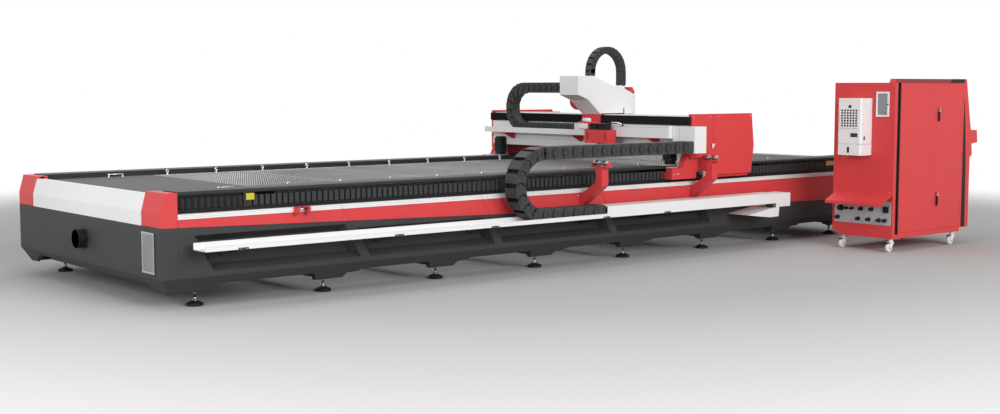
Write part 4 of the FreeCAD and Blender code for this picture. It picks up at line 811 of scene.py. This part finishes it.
# Joints of the gooseneck hood, its red brackets and its screws.
lines = Shape()
lines.box(6392, 1219.5, 1490.5, 6404, 1224, 1558)
lines.box(6030, 1219.5, 1488, 6396, 1222.5, 1498)
lines.prism([(5672, 1710), (5830, 1654), (5833, 1656), (5673, 1713)], "Y", 1221.6, 1222.2)
piece(lines, "HoodJoints", "carriage", "dark_band", finish=dark_joint_and_shade)
hood = Shape()
hood.prism([(5846, 1652), (5976, 1541), (5960, 1535), (5918, 1541), (5882, 1562), (5848, 1594),
            (5838, 1640)], "Y", 1528.3, 1544)
hood.prism([(6506, 1742), (6512, 1799), (6556, 1799), (6590, 1745), (6586.5, 1709)],
           "Y", 1240, 1330)
for x, z in ((5700, 1880), (6150, 1790), (6350, 1770), (6540, 1690), (6540, 1520)):
    hood.screw(x, 1222, z, NEAR, 5, 2.5, 1)
piece(hood, "HoodBrackets", "carriage", "red_coat", extra=(plating,))

# Cutting head from the nozzle's tip up, with a dark sensor ring.
HEAD_X, HEAD_Y, HEAD_Z = 5811.5, 1005, 1050
head = Shape()
head.lathe((HEAD_X, HEAD_Y, HEAD_Z), UP,
           [(0, 3), (1, 4), (12, 5.5), (30, 9), (31, 14), (38, 14), (39, 10), (44, 16), (58, 31),
            (60, 34), (66, 34), (70, 37.5), (96, 37.5), (98, 33), (104, 33), (106, 38),
            (261.5, 38)], 48)
head.lathe((HEAD_X, HEAD_Y, HEAD_Z + 50), UP, [(0, 20), (1, 30), (8, 34), (9, 20)], 48, 1)
piece(head, "CuttingHead", "head", "nozzle_metal", "cutting_head", extra=(black,))

# -------- control cabinet
# Painted shade: dark sheets in the groove beside the corner post and in the gap between the doors,
# and dark strips along the left door's edge that widen the groove's shade.
# Painted shade: near-black sheets at the back, wall and edge of the groove, and in the gap between
# the doors.
shade_sheets = Shape()
shade_sheets.box(7906.4, -1424.6, 191, 7949.6, -1424.1, 1845)
shade_sheets.box(7897, -1449.7, 190, 7906.5, -1449.1, 1846)
shade_sheets.box(7948.9, CABINET_NEAR, 191, 7949.5, -1424.6, 1845)
shade_sheets.box(8587.3, -1432, 208, 8588.7, -1431, 1838)
piece(shade_sheets, "CornerShadow", "root", "dark_band", finish=dark_joint_and_shade)
# Painted shade along the left door's edge: on its side face in the groove and a strip of its front.
door_edge_shade = Shape()
door_edge_shade.box(7950.5, -1448.5, 200, 7953.9, -1426, 1836)
door_edge_shade.box(7954.1, -1449.8, 200, 7961, -1449.1, 1836)
piece(door_edge_shade, "DoorEdgeShade", "door_left", "dark_band", finish=dark_joint_and_shade)

# Painted shade: a darker red copy of the paint on the roof's front; and the black inlay round the
# console side and the roof's corner.
INLAY_FACE = -1450.6
roof = Shape()
roof.prism([(7851, 1847.5), (8906, 1847.5), (8943, 1887), (7872, 1887)], "Y", -1449.8, CABINET_NEAR)
piece(roof, "RoofPaintedShade", "root", "red_coat", finish=painted_shade_red)
inlay = Shape()
blade = [(9214.5, 1680), (9205, 1400), (9203, 198), (9283, 198), (9271, 915), (9250, 1250)]
for outline in (blade, [(8906, 1846.5), (8946, 1888.3), (9206, 1888.3), (9206, 1846.5)]):
    inlay.prism(outline, "Y", INLAY_FACE, CABINET_NEAR)
inlay.box(8946, INLAY_FACE, 1888, 9206, -1372, 1888.6)
piece(inlay, "ConsoleInlay", "root", "motor_coat")

# Cooling unit: two bevelled halves, a dark line between them, a foot, a grille and fittings.
COOLER_FACE, COOLER_SIDE = 7649, -1160
DARK, BLACK, PLATED = 1, 2, 3
cooler = Shape()
bevel = [(COOLER_FACE, -866), (COOLER_FACE, -1142), (7652, -1150), (7657, -1156),
         (7665, COOLER_SIDE), (CABINET_LEFT, COOLER_SIDE), (CABINET_LEFT, -866)]
cooler.prism(bevel, "Z", 1054, 1175)
cooler.prism(bevel, "Z", 1177, 1677)
cooler.box(7651, -1158, 1174, CABINET_LEFT, -868, 1178, DARK)
cooler.prism([(7700, -880), (7700, -1140), (CABINET_LEFT, -1140), (CABINET_LEFT, -880)],
             "Z", 1047, 1054)
near, far, foot, top, bar = -1113.5, -902.5, 1361, 1558, 7646.5
cooler.box(bar, near - 16.5, foot - 10, COOLER_FACE, far + 16.5, top + 6, BLACK)
for y0, y1 in ((near - 16.5, near), (far, far + 16.5)):
    cooler.box(7641, y0, foot - 10, bar, y1, top + 6)
for z0, z1 in ((foot - 10, foot), (top, top + 6)):
    cooler.box(7641, near, z0, bar, far, z1)
for step in range(-2, 3):
    middle = -1008 + 37 * step
    cooler.box(7641.2, middle - 5.5, foot, bar, middle + 5.5, top)
for step in range(8):
    middle = 1362 + 27.8 * step
    cooler.box(7641.4, near, middle - 4.5, bar, far, middle + 4.5)
cooler.box(7646, -1030, 1572, COOLER_FACE, -995, 1600, BLACK)
cooler.box(7644, -1118, 1255, COOLER_FACE, -1030, 1296, BLACK)
cooler.box(7643, -1110, 1263, 7644, -1038, 1288, DARK)
cooler.box(7646, -1012, 1082, COOLER_FACE, -986, 1144, BLACK)
cooler.box(7700, COOLER_SIDE - 3, 1222, 7722, COOLER_SIDE, 1262, BLACK)
cooler.screws((COOLER_FACE,), (-880, -1132), (1066, 1164, 1188, 1664), LEFT, 4, 2.5, PLATED)
cooler.screws((7690, 7835), (COOLER_SIDE,), (1080, 1190, 1400, 1650), NEAR, 4, 2.5, PLATED)
piece(cooler, "CoolingUnit", "root", "white_coat", "cooling_unit",
      extra=(finishes["dark_panel"], black, plating))

# Window door: white frame, dark gasket, knob and hinge pins.
window = Shape()
for near, far, foot, top, wide, x0, x1, mark in ((-1378, -1216, 1477, 1748, 20, 7837, 7848.6, 0),
                                                 (-1358, -1236, 1497, 1728, 6, 7842, 7848, 1)):
    for y0, y1, z0, z1 in ((near, far, foot, foot + wide), (near, far, top - wide, top),
                           (near, near + wide, foot + wide, top - wide),
                           (far - wide, far, foot + wide, top - wide)):
        window.box(x0, y0, z0, x1, y1, z1, mark)
window.lathe((7837, -1368, 1612.5), LEFT, [(0, 8), (3, 8), (5, 6), (12, 7), (13, 5)], 20, 2)
for z in (1499, 1690):
    window.lathe((7843, -1215, z), UP, [(0, 5), (36, 5)], 12, 2)
piece(window, "WindowFrame", "window", "white_coat", "window_frame",
      extra=(finishes["dark_band"], finishes["handle_metal"]))

# Swing handles of the right door, each with a bright head, and the plates behind them.
HANDLE_X = 8683
plates = Shape()
for label, middle in (("Upper", 1492), ("Lower", 545)):
    top = middle + 75
    handle = Shape()
    handle.lathe((HANDLE_X, -1455, top - 16), Y_WAY, [(0, 9.5), (5.4, 9.5)], 24)
    grip = [(8675, top - 1), (8677, top), (8689, top), (8691, top - 1), (8692, top - 40),
            (8674, top - 40)]
    handle.prism(grip, "Y", -1475, -1455, 1)
    shaft = [(8674.5, top - 40), (8691.5, top - 40), (8690, middle - 62), (8687, middle - 75),
             (8679, middle - 75), (8676, middle - 62)]
    handle.prism(shaft, "Y", -1473, -1458)
    handle.lathe((HANDLE_X, -1475, top - 18), NEAR, [(-1, 6), (0.5, 6), (0.8, 4)], 20)
    piece(handle, "DoorHandle" + label, "handle_" + label.lower(), "handle_metal",
          "door_handle_" + label.lower(), extra=(plating,))
    plates.box(HANDLE_X - 10, -1449.8, middle - 78, HANDLE_X + 10, CABINET_NEAR, middle + 78)
piece(plates, "HandlePlates", "door_right", "motor_coat")

# Connector plate with two rows of glands and a main switch, and the screws of the canopy over it.
PLATE_FACE, SWITCH_FACE = 7845, 7828
panel = Shape()
panel.box(PLATE_FACE, -1432, 292, CABINET_LEFT, -700, 551)
panel.screws((PLATE_FACE,), (-712, -1066, -1420), (304, 539), LEFT, 5, 3, 2)
glands = [(-747, 346, 21), (-1018, 346, 20), (-1154, 346, 20), (-1287, 346, 20), (-1362, 346, 20)]
glands += [(-785, 452, 30), (-863, 452, 14), (-935, 454, 14), (-1054, 456, 20), (-1191, 460, 20)]
for y, z, radius in glands:
    place = (PLATE_FACE, y, z)
    panel.lathe(place, LEFT, [(0, radius * 1.2), (10, radius * 1.2), (12, radius)], 6, 1)
    panel.lathe(place, LEFT, [(10, radius), (40, radius), (50, radius * 0.8), (58, radius * 0.62),
                              (58, radius * 0.42), (48, radius * 0.36)], 24, 1)
panel.box(SWITCH_FACE, -1404, 430, PLATE_FACE, -1338, 500, 1)
panel.lathe((SWITCH_FACE, -1371, 465), LEFT, [(0, 26), (8, 24), (8, 16), (2, 15)], 24, 1)
panel.screws((SWITCH_FACE,), (-1398, -1344), (437, 493), LEFT, 3.5, 2, 2)
piece(panel, "ConnectorPlate", "root", "grey_coat", "connector_plate", extra=(black, plating))
bolts = Shape()
bolts.screws((CABINET_LEFT,), (-692, -1044, -1406), (650,), LEFT, 6, 4)
piece(bolts, "CanopyScrews", "root", "bright_plating")

# Hinge lines of the doors, and the operator's screen and keyboard.
hinges = Shape()
for x in (7949, 9177):
    for z in (400, 1023, 1640):
        hinges.box(x - 1.5, -1449.7, z - 40, x + 1.5, CABINET_NEAR, z + 40)
piece(hinges, "HingeLines", "root", "dark_band", finish=dark_joint_and_shade)
screen = Shape()
screen.prism([(9351, 1370), (9271, 1781), (9274, 1782), (9354, 1371)], "Y", -1330, -860)
screen.prism([(9348, 1398), (9277, 1763), (9279, 1764), (9350, 1399)], "Y", -1300, -890)
piece(screen, "OperatorScreen", "root", "motor_coat")
keys = Shape()
for row in range(4):
    for column in range(14):
        x, y = 9380 + 22 * row, -1400 + 38 * column
        keys.box(x, y, 1303.8, x + 17, y + 30, 1307)
piece(keys, "Keyboard", "root", "motor_coat")

# -------- casters
WHEEL_Z, TRAIL = 50, 36
TYRE = [(0, 40), (1, 46), (5, 49.5), (10, 50), (22, 50), (27, 49.5), (31, 46), (32, 40)]
caster_places = [(x, y) for y in (-1400, -790) for x in (7905, 9100)]
for number, (x, y) in enumerate(caster_places, 1):
    hub = x - TRAIL
    fork = Shape()
    fork.box(x - 34, y - 23.5, 106, x + 30, y + 23.5, 112)
    fork.lathe((x, y, 112), UP, [(0, 22), (3, 23.5), (20, 23.5), (24, 20), (35.5, 20)], 28)
    cheek = [(x - 34, 110), (x + 30, 110), (x + 26, 98), (hub + 12, 40), (hub + 8, 37),
             (hub - 8, 37), (hub - 12, 42), (hub - 16, 84), (x - 40, 100)]
    wheel = Shape()
    wheel.lathe((hub, y - 16, WHEEL_Z), Y_WAY, TYRE, 40)
    for flip in (-1, 1):
        out = (0, flip, 0)
        fork.prism(cheek, "Y", *sorted((y + flip * 18.6, y + flip * 23.4)))
        fork.lathe((hub, y + flip * 23.4, WHEEL_Z), out, [(0, 9), (1, 9), (4.4, 8), (4.6, 5)], 6, 1)
        rim = [(-2, 39), (0, 39), (0.6, 37), (0.6, 16)]
        wheel.lathe((hub, y + flip * 15.5, WHEEL_Z), out, rim, 40, 1)
        wheel.lathe((hub, y + flip * 15, WHEEL_Z), out, [(0, 13.5), (3.1, 13.5)], 20, 2)
        for spoke in range(6):
            a = math.radians(60 * spoke)
            place = (hub + 27 * math.cos(a), y + flip * 15.6, WHEEL_Z + 27 * math.sin(a))
            wheel.lathe(place, out, [(0, 5.5), (0.9, 5.5)], 12, 2)
    fork.box(hub - 40, y - 20, 101, x - 34, y + 20, 104, 2)
    fork.box(hub - 46, y - 16, 94, hub - 38, y + 16, 102, 2)
    piece(fork, f"CasterFork{number}", f"fork_{number}", "white_coat", f"caster_fork_{number}",
          extra=(plating, black))
    piece(wheel, f"CasterWheel{number}", f"wheel_{number}", "wheel_nylon", f"caster_wheel_{number}",
          extra=(white, black))


# -------- floor, backdrop and lights
STUDIO_LIGHT, SEEN_WHITE = 0.46, 1.0
FLOOR_MIDDLE = (5.5, 2.5, 0)
# Painted shade: the floor's colour is darker near the machine and lighter further out.
FLOOR_PAINTED_SHADE = (5.0, 8.0, 0.49, 0.62)
FLOOR_FADE = (7.3, 11.5, 0, 1)


def shown(tree):
    """A strength: the light on the object, and white where the camera, gloss or glass look."""
    path = node(tree, "LightPath", {})
    ray = path.outputs["Is Camera Ray"]
    for kind in ("Is Glossy Ray", "Is Transmission Ray"):
        ray = node(tree, "Math", {0: ray, 1: path.outputs[kind]}, operation="MAXIMUM").outputs[0]
    level = node(tree, "MapRange", {"Value": ray, "To Min": STUDIO_LIGHT, "To Max": SEEN_WHITE})
    return level.outputs["Result"]


def floor_finish():
    """A pale floor with painted shade that makes it a little darker near the machine, and that
    fades to white all round it.
    """
    made, tree = empty_material("StudioFloor")
    place = node(tree, "NewGeometry", {}).outputs["Position"]
    away = node(tree, "VectorMath", {0: place, 1: FLOOR_MIDDLE}, operation="DISTANCE")

    def faded(start, end, low_value, high_value):
        fade = node(tree, "MapRange", {
            "Value": away.outputs["Value"], "From Min": start, "From Max": end,
            "To Min": low_value, "To Max": high_value}, interpolation_type="SMOOTHSTEP")
        return fade.outputs["Result"]

    diffuse = node(tree, "BsdfDiffuse", {"Color": faded(*FLOOR_PAINTED_SHADE)})
    glow = node(tree, "Emission", {"Strength": shown(tree)})
    mix = node(tree, "MixShader", {"Fac": faded(*FLOOR_FADE), 1: diffuse.outputs["BSDF"],
                                   2: glow.outputs["Emission"]})
    node(tree, "OutputMaterial", {"Surface": mix.outputs["Shader"]})
    return made


mesh = bpy.data.meshes.new("Floor")
corners = [(x, y, -0.001) for x, y in ((-120, -120), (160, -120), (160, 160), (-120, 160))]
mesh.from_pydata(corners, [], [(0, 1, 2, 3)])
floor = bpy.data.objects.new("Floor", mesh)
mesh.materials.append(floor_finish())
scene.collection.objects.link(floor)

world = bpy.data.worlds.new("Studio")
world.use_nodes = True
background = world.node_tree.nodes["Background"]
world.node_tree.links.new(shown(world.node_tree), background.inputs["Strength"])
background.inputs["Color"].default_value = (1, 1, 1, 1)
scene.world = world


def area(name, place, target, size, power):
    """A rectangular lamp at a place, turned towards a target."""
    data = bpy.data.lights.new(name, "AREA")
    data.shape = "RECTANGLE"
    data.size, data.size_y = size
    data.energy = power
    made = bpy.data.objects.new(name, data)
    made.location = place
    made.rotation_euler = (Vector(target) - Vector(place)).to_track_quat("-Z", "Y").to_euler()
    scene.collection.objects.link(made)


area("Overhead", (4.0, 1.0, 8.0), (4.0, 1.5, 0.5), (12, 6), 170)
area("Front", (3.0, -17.0, 6.5), (5.0, 0.0, 0.8), (12, 6), 2100)
area("LeftEnd", (-9.0, -3.0, 4.5), (2.0, 0.5, 0.8), (6, 4), 560)
area("LeftBack", (-12.0, 4.0, 3.0), (0.0, 1.5, 0.8), (4, 4), 90)
area("Rear", (6.0, 12.0, 6.0), (4.5, 2.0, 0.8), (14, 3), 80)
